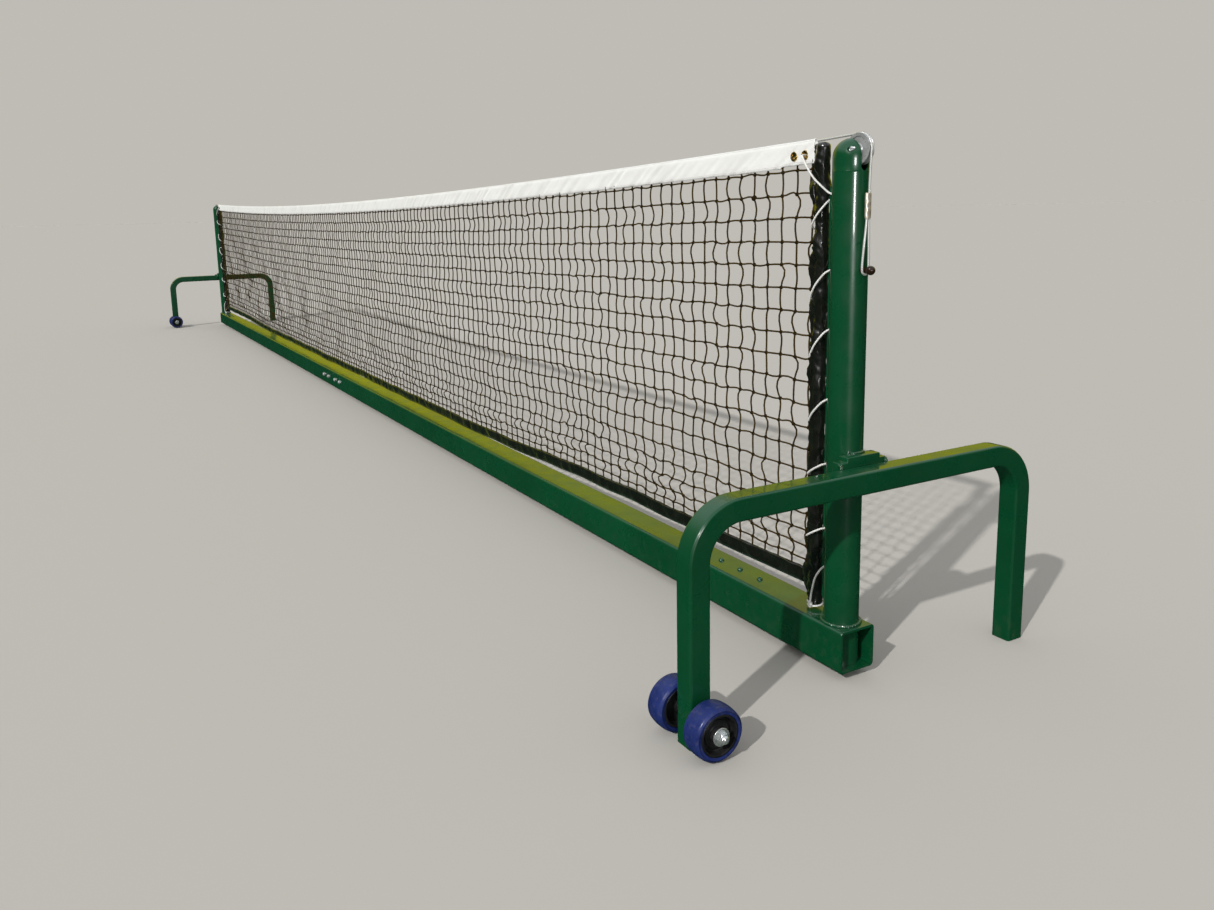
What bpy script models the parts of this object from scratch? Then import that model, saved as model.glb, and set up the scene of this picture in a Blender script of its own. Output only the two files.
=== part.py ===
"""Portable pickleball net on a rolling steel base.

X runs along the net, Y across it and Z up. The origin is on the floor, at the bottom centre of the
bounding box. Every end piece is built in end coordinates (u, v, z): u is the distance outwards from the
post axis along X, v the distance from the net's plane along Y. End "a" is at +X and end "b" mirrors it.
"""
import math

import bmesh
import bpy
from mathutils import Matrix, Vector

# Overall layout, in metres.
HALF_SPAN = 3.353          # from mid-span to a post's axis: posts stand 22 ft apart
NET_Y = 0.012              # net plane, off centre because the wheels reach out behind one row of legs
GAP = 0.0003               # clearance where two pieces touch
ENDS = (("a", 1), ("b", -1))

# Base beam: 3 in square tube in two halves.
BEAM = 0.0762
BEAM_WALL = 0.0048
BEAM_CORNER = 0.007
BEAM_BOTTOM = 0.015
BEAM_TOP = BEAM_BOTTOM + BEAM
BEAM_END = 0.0412
SPLICE_LENGTH = 0.40
SPLICE_BOLT_X = (0.06, 0.14)
BOLT_R = 0.005             # splice bolts and wheel axles
BOLT_HOLE_R = 0.0054
SCREW_U = (-0.2214, -0.2830, -0.3446)

# Post: 2 3/8 in round tube with a domed, slotted top.
POST_R = 0.03015
POST_WALL = 0.003
DOME_Z = 0.881
SLOT_HALF = 0.0075
SLOT_BOTTOM = 0.857
SLOT_BACK = -0.0095

# Leg frame: 1 1/2 in square tube bent into an inverted U.
LEG = 0.0381
LEG_WALL = 0.0026
LEG_CORNER = 0.005
FRAME_WIDTH = 0.752
FRAME_TOP = 0.380
FRAME_U = POST_R + 0.015 + LEG / 2
BEND_R = 0.0762
BEND_STEPS = 7
SADDLE_BACK = 0.024

# Wheels, in pairs on the legs of one side.
WHEEL_R = 0.043
WHEEL_Z = 0.044
WHEEL_V = -FRAME_WIDTH / 2 + LEG / 2
WHEEL_OFFSET = 0.0485      # wheel's middle from the leg's middle
TYRE_HALF = 0.0195         # half a tyre's width
TYRE_BORE = 0.0328
HUB_BORE = 0.00535
WHEEL_STEPS = 24

# Sheave in the post's top.
SHEAVE_U = 0.0185
SHEAVE_Z = 0.891
SHEAVE_R = 0.0254
CABLE_R = 0.002
CABLE_TURN_R = 0.0243

# Net.
BAND_TOP_END = 0.914
BAND_SAG = 0.050
BAND_HEIGHT = 0.043
BAND_HALF = 0.0042
BAND_WALL = 0.0015
BAND_END_U = -0.084
TAPE_BOTTOM_END = 0.128
TAPE_DROP = 0.018
TAPE_HEIGHT = 0.028
TAPE_END_U = -0.094
GROMMET_U = (-0.1356, -0.1081)
GROMMET_DROP = 0.0245
SLEEVE_U = -0.0655
SLEEVE_R = 0.012
SLEEVE_BOTTOM = 0.110
SLEEVE_TOP = 0.900
FLAP_TIP_U = -0.0905
FLAP_HALF = 0.0012
DOWEL_R = 0.0095
DOWEL_Z = (0.096, 0.905)
EYELET_U = -0.0835
EYELET_R = 0.0046

# Lacing rod and cord.
ROD_U = -0.044
ROD_R = 0.0032
ROD_STANDOFF_Z = (0.837, 0.448, 0.116)
CORD_R = 0.0018
LACING_RIGHT_Z = (0.700, 0.600, 0.480, 0.366, 0.250, 0.180)
LACING_LEFT_Z = (0.765, 0.645, 0.540, 0.428, 0.335, 0.221)

# Cable peg and crimped eye.
PEG_Z = 0.700
PEG_R = 0.004
PEG_BALL_R = 0.0075
PEG_BALL_U = 0.0478
EYE_U = 0.0360
FERRULE_U = 0.0385
FERRULE_Z = (0.782, 0.822)

COLOURS = {                # base colour, roughness, metallic
    "green_paint": ((0.006, 0.070, 0.030), 0.18, 0.0),
    "zinc": ((0.52, 0.53, 0.53), 0.35, 1.0),
    "chrome": ((0.75, 0.76, 0.78), 0.15, 1.0),
    "blue_tread": ((0.020, 0.045, 0.230), 0.32, 0.0),
    "black_plastic": ((0.010, 0.010, 0.012), 0.35, 0.0),
    "black_vinyl": ((0.016, 0.015, 0.015), 0.28, 0.0),
    "white_vinyl": ((0.82, 0.83, 0.80), 0.5, 0.0),
    "twine": ((0.050, 0.032, 0.012), 0.8, 0.0),
    "brass": ((0.62, 0.40, 0.10), 0.28, 1.0),
    "white_cord": ((0.80, 0.81, 0.78), 0.6, 0.0),
    "wire": ((0.45, 0.45, 0.44), 0.35, 1.0),
    "copper": ((0.48, 0.36, 0.26), 0.45, 1.0),
    "peg_black": ((0.025, 0.014, 0.010), 0.3, 0.0),
    "wood": ((0.45, 0.30, 0.16), 0.6, 0.0),
}


def clear_scene():
    for thing in list(bpy.data.objects):
        bpy.data.objects.remove(thing, do_unlink=True)


def make_materials():
    materials = {}
    for name, (colour, roughness, metallic) in COLOURS.items():
        material = bpy.data.materials.new(name)
        material.use_nodes = True
        shader = material.node_tree.nodes["Principled BSDF"]
        shader.inputs["Base Color"].default_value = (*colour, 1.0)
        shader.inputs["Roughness"].default_value = roughness
        shader.inputs["Metallic"].default_value = metallic
        materials[name] = material
    return materials


def at(side, u, v, z):
    """World position of end coordinates."""
    return Vector((side * (HALF_SPAN + u), NET_Y + v, z))


def add_object(name, bm, material, origin=(0.0, 0.0, 0.0), smooth=math.radians(35)):
    """Turn a bmesh in world coordinates into an object whose origin is at the given point."""
    bmesh.ops.recalc_face_normals(bm, faces=bm.faces)
    bmesh.ops.translate(bm, verts=bm.verts, vec=-Vector(origin))
    mesh = bpy.data.meshes.new(name)
    bm.to_mesh(mesh)
    bm.free()
    mesh.materials.append(material)
    mesh.shade_smooth()
    mesh.set_sharp_from_angle(angle=smooth)
    thing = bpy.data.objects.new(name, mesh)
    thing.location = origin
    bpy.context.collection.objects.link(thing)
    return thing


def loft(rings, closed=False):
    """Skin equal rings of points; a closed loft joins its last ring to its first, as in a hollow tube."""
    bm = bmesh.new()
    loops = [[bm.verts.new(point) for point in ring] for ring in rings]
    pairs = list(zip(loops, loops[1:]))
    if closed:
        pairs.append((loops[-1], loops[0]))
    for first, second in pairs:
        count = len(first)
        for i in range(count):
            j = (i + 1) % count
            bm.faces.new((first[i], first[j], second[j], second[i]))
    if not closed:
        bm.faces.new(loops[0])
        bm.faces.new(loops[-1])
    return bm


def turned(profile, centre, axis, steps):
    """Spin (radius, distance) points about an axis through centre; a profile off the axis is closed."""
    axis = Vector(axis).normalized()
    across = Vector((0, 0, 1)) if abs(axis.z) < 0.5 else Vector((1, 0, 0))
    bm = bmesh.new()
    verts = [bm.verts.new(Vector(centre) + axis * a + across * r) for r, a in profile]
    edges = [bm.edges.new(pair) for pair in zip(verts, verts[1:])]
    if profile[0][0] > 1e-6:
        edges.append(bm.edges.new((verts[-1], verts[0])))
    bmesh.ops.spin(bm, geom=verts + edges, cent=centre, axis=axis, angle=2 * math.pi,
                   steps=steps, use_merge=True)
    bmesh.ops.remove_doubles(bm, verts=bm.verts, dist=1e-6)
    return bm


def rounded_rect(width, height, radius, steps=2):
    """Outline of a rectangle with rounded corners, centred on the origin."""
    points = []
    for corner, (cx, cy) in enumerate(((1, 1), (-1, 1), (-1, -1), (1, -1))):
        for i in range(steps + 1):
            angle = math.radians(90 * corner + 90 * i / steps)
            points.append((cx * (width / 2 - radius) + radius * math.cos(angle),
                           cy * (height / 2 - radius) + radius * math.sin(angle)))
    return points


def cutter(name, bm):
    """A hidden tool for a Boolean."""
    bmesh.ops.recalc_face_normals(bm, faces=bm.faces)
    mesh = bpy.data.meshes.new(name)
    bm.to_mesh(mesh)
    bm.free()
    thing = bpy.data.objects.new(name, mesh)
    bpy.context.collection.objects.link(thing)
    thing.hide_render = True
    thing.display_type = "WIRE"
    return thing


def boolean(target, tool, operation="DIFFERENCE"):
    modifier = target.modifiers.new(tool.name, "BOOLEAN")
    modifier.operation = operation
    modifier.solver = "EXACT"
    modifier.object = tool


def rod_mesh(start, end, radius, steps=16):
    """A plain round bar between two points."""
    start, end = Vector(start), Vector(end)
    length = (end - start).length
    return turned([(0, 0), (radius, 0), (radius, length), (0, length)], start, end - start, steps)


def box_mesh(low, high):
    bm = bmesh.new()
    bmesh.ops.create_cube(bm, size=1.0)
    low, high = Vector(low), Vector(high)
    bmesh.ops.transform(bm, verts=bm.verts, matrix=Matrix.Diagonal((*(high - low), 1.0)))
    bmesh.ops.translate(bm, verts=bm.verts, vec=(low + high) / 2)
    return bm


def cord(name, points, radius, material):
    """A held cord or cable, as a curve through the given points."""
    data = bpy.data.curves.new(name, "CURVE")
    data.dimensions = "3D"
    data.bevel_depth = radius
    data.bevel_resolution = 2
    data.use_fill_caps = True
    spline = data.splines.new("POLY")
    spline.points.add(len(points) - 1)
    for slot, point in zip(spline.points, points):
        slot.co = (*point, 1.0)
    data.materials.append(material)
    thing = bpy.data.objects.new(name, data)
    bpy.context.collection.objects.link(thing)
    return thing


# Shapes of the net's edges.

def band_top(x):
    """Height of the headband's top edge: a shallow parabola between the posts."""
    end = HALF_SPAN + BAND_END_U
    return BAND_TOP_END - BAND_SAG * (1 - (x / end) ** 2)


def tape_bottom(x):
    """Height of the bottom tape's lower edge, which eases down away from the posts."""
    from_end = HALF_SPAN - abs(x)
    t = min(max((from_end - 0.8) / 0.9, 0.0), 1.0)
    return TAPE_BOTTOM_END - TAPE_DROP * t * t * (3 - 2 * t)


def stations(end_u, count=20):
    """X positions along the net, from one end of a strip to the other."""
    reach = HALF_SPAN + end_u
    return [reach * (2 * i / count - 1) for i in range(count + 1)]


# Frame.

def build_beam(materials):
    outer = rounded_rect(BEAM, BEAM, BEAM_CORNER)
    inner = rounded_rect(BEAM - 2 * BEAM_WALL, BEAM - 2 * BEAM_WALL, BEAM_CORNER - BEAM_WALL)
    middle = BEAM_BOTTOM + BEAM / 2

    def ring(outline, x):
        return [(x, NET_Y + y, middle + z) for y, z in outline]

    for end, side in ENDS:
        near, far = side * GAP, side * (HALF_SPAN + BEAM_END)
        bm = loft([ring(outer, near), ring(outer, far), ring(inner, far), ring(inner, near)], closed=True)
        beam = add_object(f"beam_{end}", bm, materials["green_paint"])
        hole = turned([(0, 0), (POST_R + 0.0005, 0), (POST_R + 0.0005, 0.03), (0, 0.03)],
                      at(side, 0, 0, BEAM_TOP - 0.02), (0, 0, 1), 32)
        boolean(beam, cutter(f"cut_beam_post_{end}", hole))
        for i, u in enumerate(SCREW_U):
            tool = rod_mesh(at(side, u, 0, BEAM_TOP - 0.02), at(side, u, 0, BEAM_TOP + 0.01), 0.0034)
            boolean(beam, cutter(f"cut_beam_screw_{end}{i}", tool))
            head = [(0, 0.0042), (0.003, 0.0040), (0.0052, 0.0026), (0.0058, GAP), (0.003, GAP),
                    (0.003, -0.009), (0, -0.009)]
            add_object(f"beam_screw_{end}{i + 1}",
                       turned(head, at(side, u, 0, BEAM_TOP), (0, 0, 1), 12), materials["green_paint"])
        for i, x in enumerate(SPLICE_BOLT_X):
            tool = rod_mesh((side * x, NET_Y - BEAM, middle), (side * x, NET_Y - 0.01, middle), BOLT_HOLE_R)
            boolean(beam, cutter(f"cut_beam_splice_{end}{i}", tool))

    size = BEAM - 2 * BEAM_WALL - 0.0012
    outer = rounded_rect(size, size, 0.004)
    inner = rounded_rect(size - 0.008, size - 0.008, 0.001)
    low, high = -SPLICE_LENGTH / 2, SPLICE_LENGTH / 2
    bm = loft([ring(outer, low), ring(outer, high), ring(inner, high), ring(inner, low)], closed=True)
    sleeve = add_object("splice_sleeve", bm, materials["zinc"])
    for end, side in ENDS:
        for i, x in enumerate(SPLICE_BOLT_X):
            tool = rod_mesh((side * x, NET_Y - BEAM, middle), (side * x, NET_Y - 0.01, middle), BOLT_HOLE_R)
            boolean(sleeve, cutter(f"cut_sleeve_{end}{i}", tool))
            head = [(0, 0.0065), (0.0085, 0.0065), (0.0085, GAP), (BOLT_R, GAP), (BOLT_R, -0.014),
                    (0, -0.014)]
            bolt = turned(head, (side * x, NET_Y - BEAM / 2, middle), (0, -1, 0), 12)
            add_object(f"splice_bolt_{end}{i + 1}", bolt, materials["zinc"])


def build_post(end, side, materials):
    """Round post with a hemispherical top, slotted on its outer side for the sheave."""
    foot = BEAM_BOTTOM + BEAM_WALL + GAP
    arc = [math.radians(a) for a in (0, 22, 44, 66)]

    def skin(radius):
        dome = [(radius * math.cos(a), DOME_Z + radius * math.sin(a)) for a in arc]
        return [(radius, foot)] + dome + [(0, DOME_Z + radius)]

    path = list(reversed(skin(POST_R - POST_WALL))) + skin(POST_R)
    centre = at(side, 0, 0, 0)
    post = add_object(f"post_{end}", turned(path, centre, (0, 0, 1), 32), materials["green_paint"])
    slot = box_mesh(at(1, SLOT_BACK, -SLOT_HALF, SLOT_BOTTOM), at(1, 0.045, SLOT_HALF, 0.930))
    if side < 0:
        bmesh.ops.scale(slot, verts=slot.verts, vec=(-1, 1, 1))
    boolean(post, cutter(f"cut_post_slot_{end}", slot))
    hole = rod_mesh(at(side, SHEAVE_U, -0.04, SHEAVE_Z), at(side, SHEAVE_U, 0.04, SHEAVE_Z), 0.0045)
    boolean(post, cutter(f"cut_post_axle_{end}", hole))


def build_leg_frame(end, side, materials):
    """Inverted U of square tube, outside the post; its feet are the open tube ends."""
    outline = rounded_rect(LEG, LEG, LEG_CORNER)
    bore = rounded_rect(LEG - 2 * LEG_WALL, LEG - 2 * LEG_WALL, LEG_CORNER - LEG_WALL)
    leg_v = FRAME_WIDTH / 2 - LEG / 2
    bar_z = FRAME_TOP - LEG / 2
    path = [(-leg_v, 0.0, 0.0), (-leg_v, 0.12, 0.0)]
    for corner, centre_v in enumerate((-leg_v + BEND_R, leg_v - BEND_R)):
        for i in range(BEND_STEPS + 1):
            turn = math.radians(90 * corner + 90 * i / BEND_STEPS)
            path.append((centre_v - BEND_R * math.cos(turn), bar_z - BEND_R + BEND_R * math.sin(turn),
                         turn))
    path += [(leg_v, 0.12, math.pi), (leg_v, 0.0, math.pi)]

    def ring(section, place):
        v, z, turn = place
        return [at(side, FRAME_U + a, v - b * math.cos(turn), z + b * math.sin(turn)) for a, b in section]

    rings = [ring(outline, place) for place in path] + [ring(bore, place) for place in reversed(path)]
    frame = add_object(f"leg_frame_{end}", loft(rings, closed=True), materials["green_paint"])
    hole = rod_mesh(at(side, FRAME_U - 0.03, WHEEL_V, WHEEL_Z), at(side, FRAME_U + 0.03, WHEEL_V, WHEEL_Z),
                    BOLT_HOLE_R)
    boolean(frame, cutter(f"cut_leg_axle_{end}", hole))


def build_saddle(end, side, materials):
    """Stepped block between the post and the crossbar, hollowed to fit the post."""
    inner_v, outer_v, foot, step, top = 0.036, 0.050, 0.352, 0.388, 0.3965
    outline = [(-outer_v, foot), (outer_v, foot), (outer_v, step), (inner_v, step),
               (inner_v, top), (-inner_v, top), (-inner_v, step), (-outer_v, step)]
    back, front = SADDLE_BACK, FRAME_U - LEG / 2 - GAP
    rings = [[at(side, u, v, z) for v, z in outline] for u in (back, front)]
    saddle = add_object(f"frame_saddle_{end}", loft(rings), materials["green_paint"])
    tool = rod_mesh(at(side, 0, 0, 0.3), at(side, 0, 0, 0.45), POST_R + 0.0005, 32)
    boolean(saddle, cutter(f"cut_saddle_{end}", tool))


# Wheels.

def build_wheels(end, side, materials):
    for place, sign in (("outer", 1), ("inner", -1)):
        axis = (side * sign, 0, 0)
        centre = at(side, FRAME_U + sign * WHEEL_OFFSET, WHEEL_V, WHEEL_Z)
        crown = [(WHEEL_R - 0.0045, TYRE_HALF), (WHEEL_R - 0.0016, TYRE_HALF - 0.0028),
                 (WHEEL_R - 0.0004, TYRE_HALF - 0.0090), (WHEEL_R, 0.0)]
        right = [(TYRE_BORE, TYRE_HALF - 0.0010)] + crown
        left = [(r, -a) for r, a in reversed(right[:-1])]
        add_object(f"tyre_{end}_{place}", turned(right + left, centre, axis, WHEEL_STEPS),
                   materials["blue_tread"], centre)
        rim, face, web = TYRE_BORE - GAP, TYRE_HALF - 0.0012, TYRE_HALF - 0.0130
        boss, foot = TYRE_HALF + 0.0002, -(TYRE_HALF + 0.0094)
        hub = [(HUB_BORE, foot), (HUB_BORE, boss), (0.0120, boss), (0.0135, web + 0.0010),
               (0.0285, web), (0.0298, face), (rim, face), (rim, -face), (0.0298, -face),
               (0.0285, -web), (0.0105, -web - 0.0010), (0.0095, foot)]
        add_object(f"hub_{end}_{place}", turned(hub, centre, axis, WHEEL_STEPS),
                   materials["black_plastic"], centre)
        near, far = TYRE_HALF + 0.0006, TYRE_HALF + 0.0030
        washer = [(BOLT_HOLE_R, near), (0.0142, near), (0.0142, far), (BOLT_HOLE_R, far)]
        add_object(f"axle_washer_{end}_{place}", turned(washer, centre, axis, 16),
                   materials["chrome"], centre)

    centre = at(side, FRAME_U, WHEEL_V, WHEEL_Z)
    seat = WHEEL_OFFSET + TYRE_HALF + 0.0033
    head, tip = -seat, seat + 0.0072
    bolt = [(0, head - 0.0065), (0.0068, head - 0.0065), (0.0085, head - 0.0050), (0.0085, head),
            (BOLT_R, head), (BOLT_R, tip), (0, tip)]
    add_object(f"wheel_axle_{end}", turned(bolt, centre, (side, 0, 0), 16), materials["chrome"], centre)
    nut = [(0, seat + 0.0128), (0.0050, seat + 0.0118), (0.0082, seat + 0.0090), (0.0092, seat + 0.0065),
           (0.0092, seat), (0.0053, seat), (0.0053, seat + 0.0078), (0, seat + 0.0078)]
    add_object(f"axle_nut_{end}", turned(nut, centre, (side, 0, 0), 12), materials["chrome"], centre)


# Sheave, cable and peg.

def build_sheave(end, side, materials):
    centre = at(side, SHEAVE_U, 0, SHEAVE_Z)
    half, lip, floor = 0.006, 0.0045, 0.0219
    groove = [(0.00435, -half), (SHEAVE_R, -half), (SHEAVE_R, -lip), (floor, -0.0015), (floor, 0.0015),
              (SHEAVE_R, lip), (SHEAVE_R, half), (0.00435, half)]
    add_object(f"sheave_{end}", turned(groove, centre, (0, 1, 0), 28), materials["zinc"], centre)
    reach = 0.0262
    pin = [(0, -reach), (0.0028, -reach), (0.004, -reach + 0.0012), (0.004, reach - 0.0012),
           (0.0028, reach), (0, reach)]
    add_object(f"sheave_axle_{end}", turned(pin, centre, (0, 1, 0), 16), materials["chrome"], centre)


def build_peg(end, side, materials):
    start = POST_R + GAP
    neck = PEG_BALL_U - math.sqrt(PEG_BALL_R ** 2 - PEG_R ** 2)
    ball = []
    for i in range(1, 6):
        angle = math.radians(32 + (180 - 32) * i / 6)
        ball.append((PEG_BALL_R * math.sin(angle), PEG_BALL_U - PEG_BALL_R * math.cos(angle)))
    profile = [(0, start), (PEG_R, start), (PEG_R, neck)] + ball + [(0, PEG_BALL_U + PEG_BALL_R)]
    add_object(f"cable_peg_{end}", turned(profile, at(side, 0, 0, PEG_Z), (side, 0, 0), 14),
               materials["peg_black"])
    low, high = FERRULE_Z

    def oval(width, depth, z):
        ring = []
        for i in range(16):
            angle = 2 * math.pi * i / 16
            straight = width / 2 - depth / 2
            v = depth / 2 * math.sin(angle) + math.copysign(straight, math.sin(angle))
            ring.append(at(side, FERRULE_U + depth / 2 * math.cos(angle), v, z))
        return ring

    outer, inner = (0.0118, 0.0076), (0.0094, 0.0052)
    rings = [oval(*outer, low), oval(*outer, high), oval(*inner, high), oval(*inner, low)]
    add_object(f"cable_ferrule_{end}", loft(rings, closed=True), materials["copper"])


def cable_end(side):
    """Route of the cable from the headband's end over the sheave to the eye on the peg."""
    route = [(BAND_END_U - 0.003, 0.0, BAND_TOP_END - 0.0038)]
    for i in range(9):
        angle = math.radians(93 - 96 * i / 8)
        route.append((SHEAVE_U + CABLE_TURN_R * math.cos(angle), 0.0,
                      SHEAVE_Z + CABLE_TURN_R * math.sin(angle)))
    top, bottom = FERRULE_Z[1], FERRULE_Z[0]
    strand = 0.0022
    route += [(FERRULE_U + 0.0010, strand * 0.6, top + 0.016), (FERRULE_U, strand, top + 0.002),
              (FERRULE_U, strand, bottom - 0.002)]
    eye = 0.0068
    route += [(EYE_U + 0.0012, eye * 0.75, PEG_Z + 0.040), (EYE_U, eye, PEG_Z + 0.010)]
    for i in range(7):
        angle = math.radians(-180 * i / 6)
        route.append((EYE_U, eye * math.cos(angle), PEG_Z + eye * math.sin(angle)))
    route += [(EYE_U, -eye, PEG_Z + 0.010), (EYE_U + 0.0012, -eye * 0.75, PEG_Z + 0.040),
              (FERRULE_U, -strand, bottom - 0.002), (FERRULE_U, -strand, top - 0.003)]
    return [at(side, u, v, z) for u, v, z in route]


def build_cable(materials):
    """One wire rope from peg to peg, inside the headband's fold between the posts."""
    inside = [Vector((x, NET_Y, band_top(x) - 0.0038)) for x in stations(BAND_END_U, 14)[1:-1]]
    route = list(reversed(cable_end(-1))) + inside + cable_end(1)
    cord("net_cable", route, CABLE_R, materials["wire"])


# Net.

def build_headband(materials):
    """White binding folded over the cable, with brass eyelets at both ends."""
    inner = BAND_HALF - BAND_WALL
    fold = 0.0022
    section = [(-BAND_HALF, -BAND_HEIGHT), (-BAND_HALF, -fold), (-fold, 0.0), (fold, 0.0),
               (BAND_HALF, -fold), (BAND_HALF, -BAND_HEIGHT), (inner, -BAND_HEIGHT), (inner, -BAND_WALL),
               (-inner, -BAND_WALL), (-inner, -BAND_HEIGHT)]
    rings = [[(x, NET_Y + y, band_top(x) + z) for y, z in section] for x in stations(BAND_END_U)]
    band = add_object("headband", loft(rings), materials["white_vinyl"])
    for end, side in ENDS:
        for i, u in enumerate(GROMMET_U):
            centre = at(side, u, 0, band_top(HALF_SPAN + u) - GROMMET_DROP)
            tool = turned([(0, -0.01), (0.0062, -0.01), (0.0062, 0.01), (0, 0.01)], centre, (0, 1, 0), 16)
            boolean(band, cutter(f"cut_band_{end}{i}", tool))
            lip, flange = BAND_HALF + GAP, BAND_HALF + 0.0014
            ring = [(0.0046, -flange), (0.0082, -lip), (0.0058, -lip), (0.0058, lip), (0.0082, lip),
                    (0.0046, flange)]
            add_object(f"grommet_{end}{i + 1}", turned(ring, centre, (0, 1, 0), 16), materials["brass"])


def build_netting(materials):
    """Plain panel that stands for the knotted twine, between the headband and the bottom tape."""
    half = 0.001
    rings = []
    for x in stations(TAPE_END_U):
        low, high = tape_bottom(x) + 0.0035, band_top(x) - 0.037
        rings.append([(x, NET_Y - half, low), (x, NET_Y + half, low),
                      (x, NET_Y + half, high), (x, NET_Y - half, high)])
    add_object("netting", loft(rings), materials["twine"])


def build_bottom_tape(materials):
    outer, inner, floor = 0.003, 0.0018, 0.0016
    section = [(-outer, TAPE_HEIGHT), (-outer, 0.0), (outer, 0.0), (outer, TAPE_HEIGHT),
               (inner, TAPE_HEIGHT), (inner, floor), (-inner, floor), (-inner, TAPE_HEIGHT)]
    rings = [[(x, NET_Y + y, tape_bottom(x) + z) for y, z in section] for x in stations(TAPE_END_U)]
    add_object("bottom_tape", loft(rings), materials["black_vinyl"])


def build_side_sleeve(end, side, materials):
    """Vinyl sleeve around a dowel, with a flap on the net's side and eyelets for the lacing."""
    count = 14
    open_angle = math.asin(FLAP_HALF / SLEEVE_R)
    spread = [math.pi - open_angle - (2 * math.pi - 2 * open_angle) * i / (count - 1) for i in range(count)]
    outer = [(SLEEVE_U + SLEEVE_R * math.cos(a), SLEEVE_R * math.sin(a)) for a in spread]
    outer += [(FLAP_TIP_U, -FLAP_HALF), (FLAP_TIP_U, FLAP_HALF)]
    bore = SLEEVE_R - 0.0012
    around = spread + [-math.pi + open_angle / 3, math.pi - open_angle / 3]
    inner = [(SLEEVE_U + bore * math.cos(a), bore * math.sin(a)) for a in around]

    def ring(outline, z):
        return [at(side, u, v, z) for u, v in outline]

    rings = [ring(outer, SLEEVE_BOTTOM), ring(outer, SLEEVE_TOP),
             ring(inner, SLEEVE_TOP), ring(inner, SLEEVE_BOTTOM)]
    sleeve = add_object(f"side_sleeve_{end}", loft(rings, closed=True), materials["black_vinyl"])
    for i, z in enumerate(LACING_LEFT_Z):
        tool = rod_mesh(at(side, EYELET_U, -0.004, z), at(side, EYELET_U, 0.004, z), EYELET_R, 12)
        boolean(sleeve, cutter(f"cut_sleeve_eye_{end}{i}", tool))
    low, high = DOWEL_Z
    dowel = rod_mesh(at(side, SLEEVE_U, 0, low), at(side, SLEEVE_U, 0, high), DOWEL_R)
    add_object(f"dowel_{end}", dowel, materials["wood"])


def build_lacing_rod(end, side, materials):
    """Round rod bent to the post at its ends, with a stand-off in the middle."""
    top, middle, bottom = ROD_STANDOFF_Z
    start = -(POST_R + GAP)
    bend = 0.006
    path = [(start, bottom, 0.0)]
    for corner, z, sign in ((0, bottom, 1), (1, top, -1)):
        for i in range(4):
            turn = math.radians(90 * i / 3)
            if corner == 0:
                path.append((ROD_U + bend - bend * math.sin(turn), z + bend - bend * math.cos(turn), turn))
            else:
                path.append((ROD_U + bend - bend * math.cos(turn), z - bend + bend * math.sin(turn),
                             math.pi / 2 + turn))
    path.append((start, top, math.pi))

    def ring(place):
        u, z, turn = place
        points = []
        for i in range(12):
            angle = 2 * math.pi * i / 12
            a, b = ROD_R * math.cos(angle), ROD_R * math.sin(angle)
            points.append(at(side, u + a * -math.sin(turn), b, z - a * math.cos(turn)))
        return points

    rod = add_object(f"lacing_rod_{end}", loft([ring(place) for place in path]), materials["green_paint"])
    tool = rod_mesh(at(side, start, 0, middle), at(side, ROD_U, 0, middle), ROD_R * 0.9, 12)
    boolean(rod, cutter(f"join_rod_{end}", tool), "UNION")


def build_lacing_cord(end, side, materials):
    """White cord from the second eyelet, hitched to the rod and laced down the sleeve to the dowel's foot."""
    eye_z = band_top(HALF_SPAN + GROMMET_U[1]) - GROMMET_DROP
    right_u, front = ROD_U + ROD_R + CORD_R + 0.0015, 0.0172
    grommet_u = GROMMET_U[1]
    route = [(grommet_u, 0.0105, eye_z - 0.001), (grommet_u, 0.0, eye_z), (grommet_u, -0.0085, eye_z - 0.001),
             (-0.1000, -0.0110, eye_z - 0.011), (-0.0850, -0.0150, eye_z - 0.025),
             (-0.0700, -0.0170, eye_z - 0.039), (-0.0580, -0.0145, eye_z - 0.050)]
    route += [(ROD_U - 0.003, -0.0070, 0.8265), (ROD_U + 0.0036, -0.0056, 0.8230), (right_u, 0.0, 0.8200),
              (ROD_U + 0.0040, 0.0048, 0.8180), (ROD_U - 0.0006, 0.0064, 0.8160),
              (ROD_U - 0.0052, 0.0046, 0.8140), (ROD_U - 0.0063, 0.0, 0.8115),
              (ROD_U - 0.0075, -0.0100, 0.8030)]
    centre_u, half_u = (right_u + EYELET_U) / 2, (right_u - EYELET_U) / 2
    starts = (0.811,) + LACING_RIGHT_Z
    for turn, (start_z, left_z, next_z) in enumerate(zip(starts, LACING_LEFT_Z, LACING_RIGHT_Z)):
        for i in range(2 if turn == 0 else 1, 9):
            angle = math.radians(45 * i)
            share = (1 - math.cos(angle)) / 2
            z = left_z + ((start_z if i < 4 else next_z) - left_z) * (1 - share)
            route.append((centre_u + half_u * math.cos(angle), -front * math.sin(angle), z))
    route += [(ROD_U + 0.0020, -0.0085, 0.173), (-0.0500, -0.0150, 0.155), (-0.0560, -0.0165, 0.130),
              (-0.0595, -0.0165, 0.1095)]
    wrap = 0.0129
    for i in range(11):
        angle = math.radians(-70 - 45 * i)
        route.append((SLEEVE_U + wrap * math.cos(angle), wrap * math.sin(angle), 0.1045 - 0.0082 * i / 10))
    cord(f"lacing_cord_{end}", [at(side, u, v, z) for u, v, z in route], CORD_R, materials["white_cord"])


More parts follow.
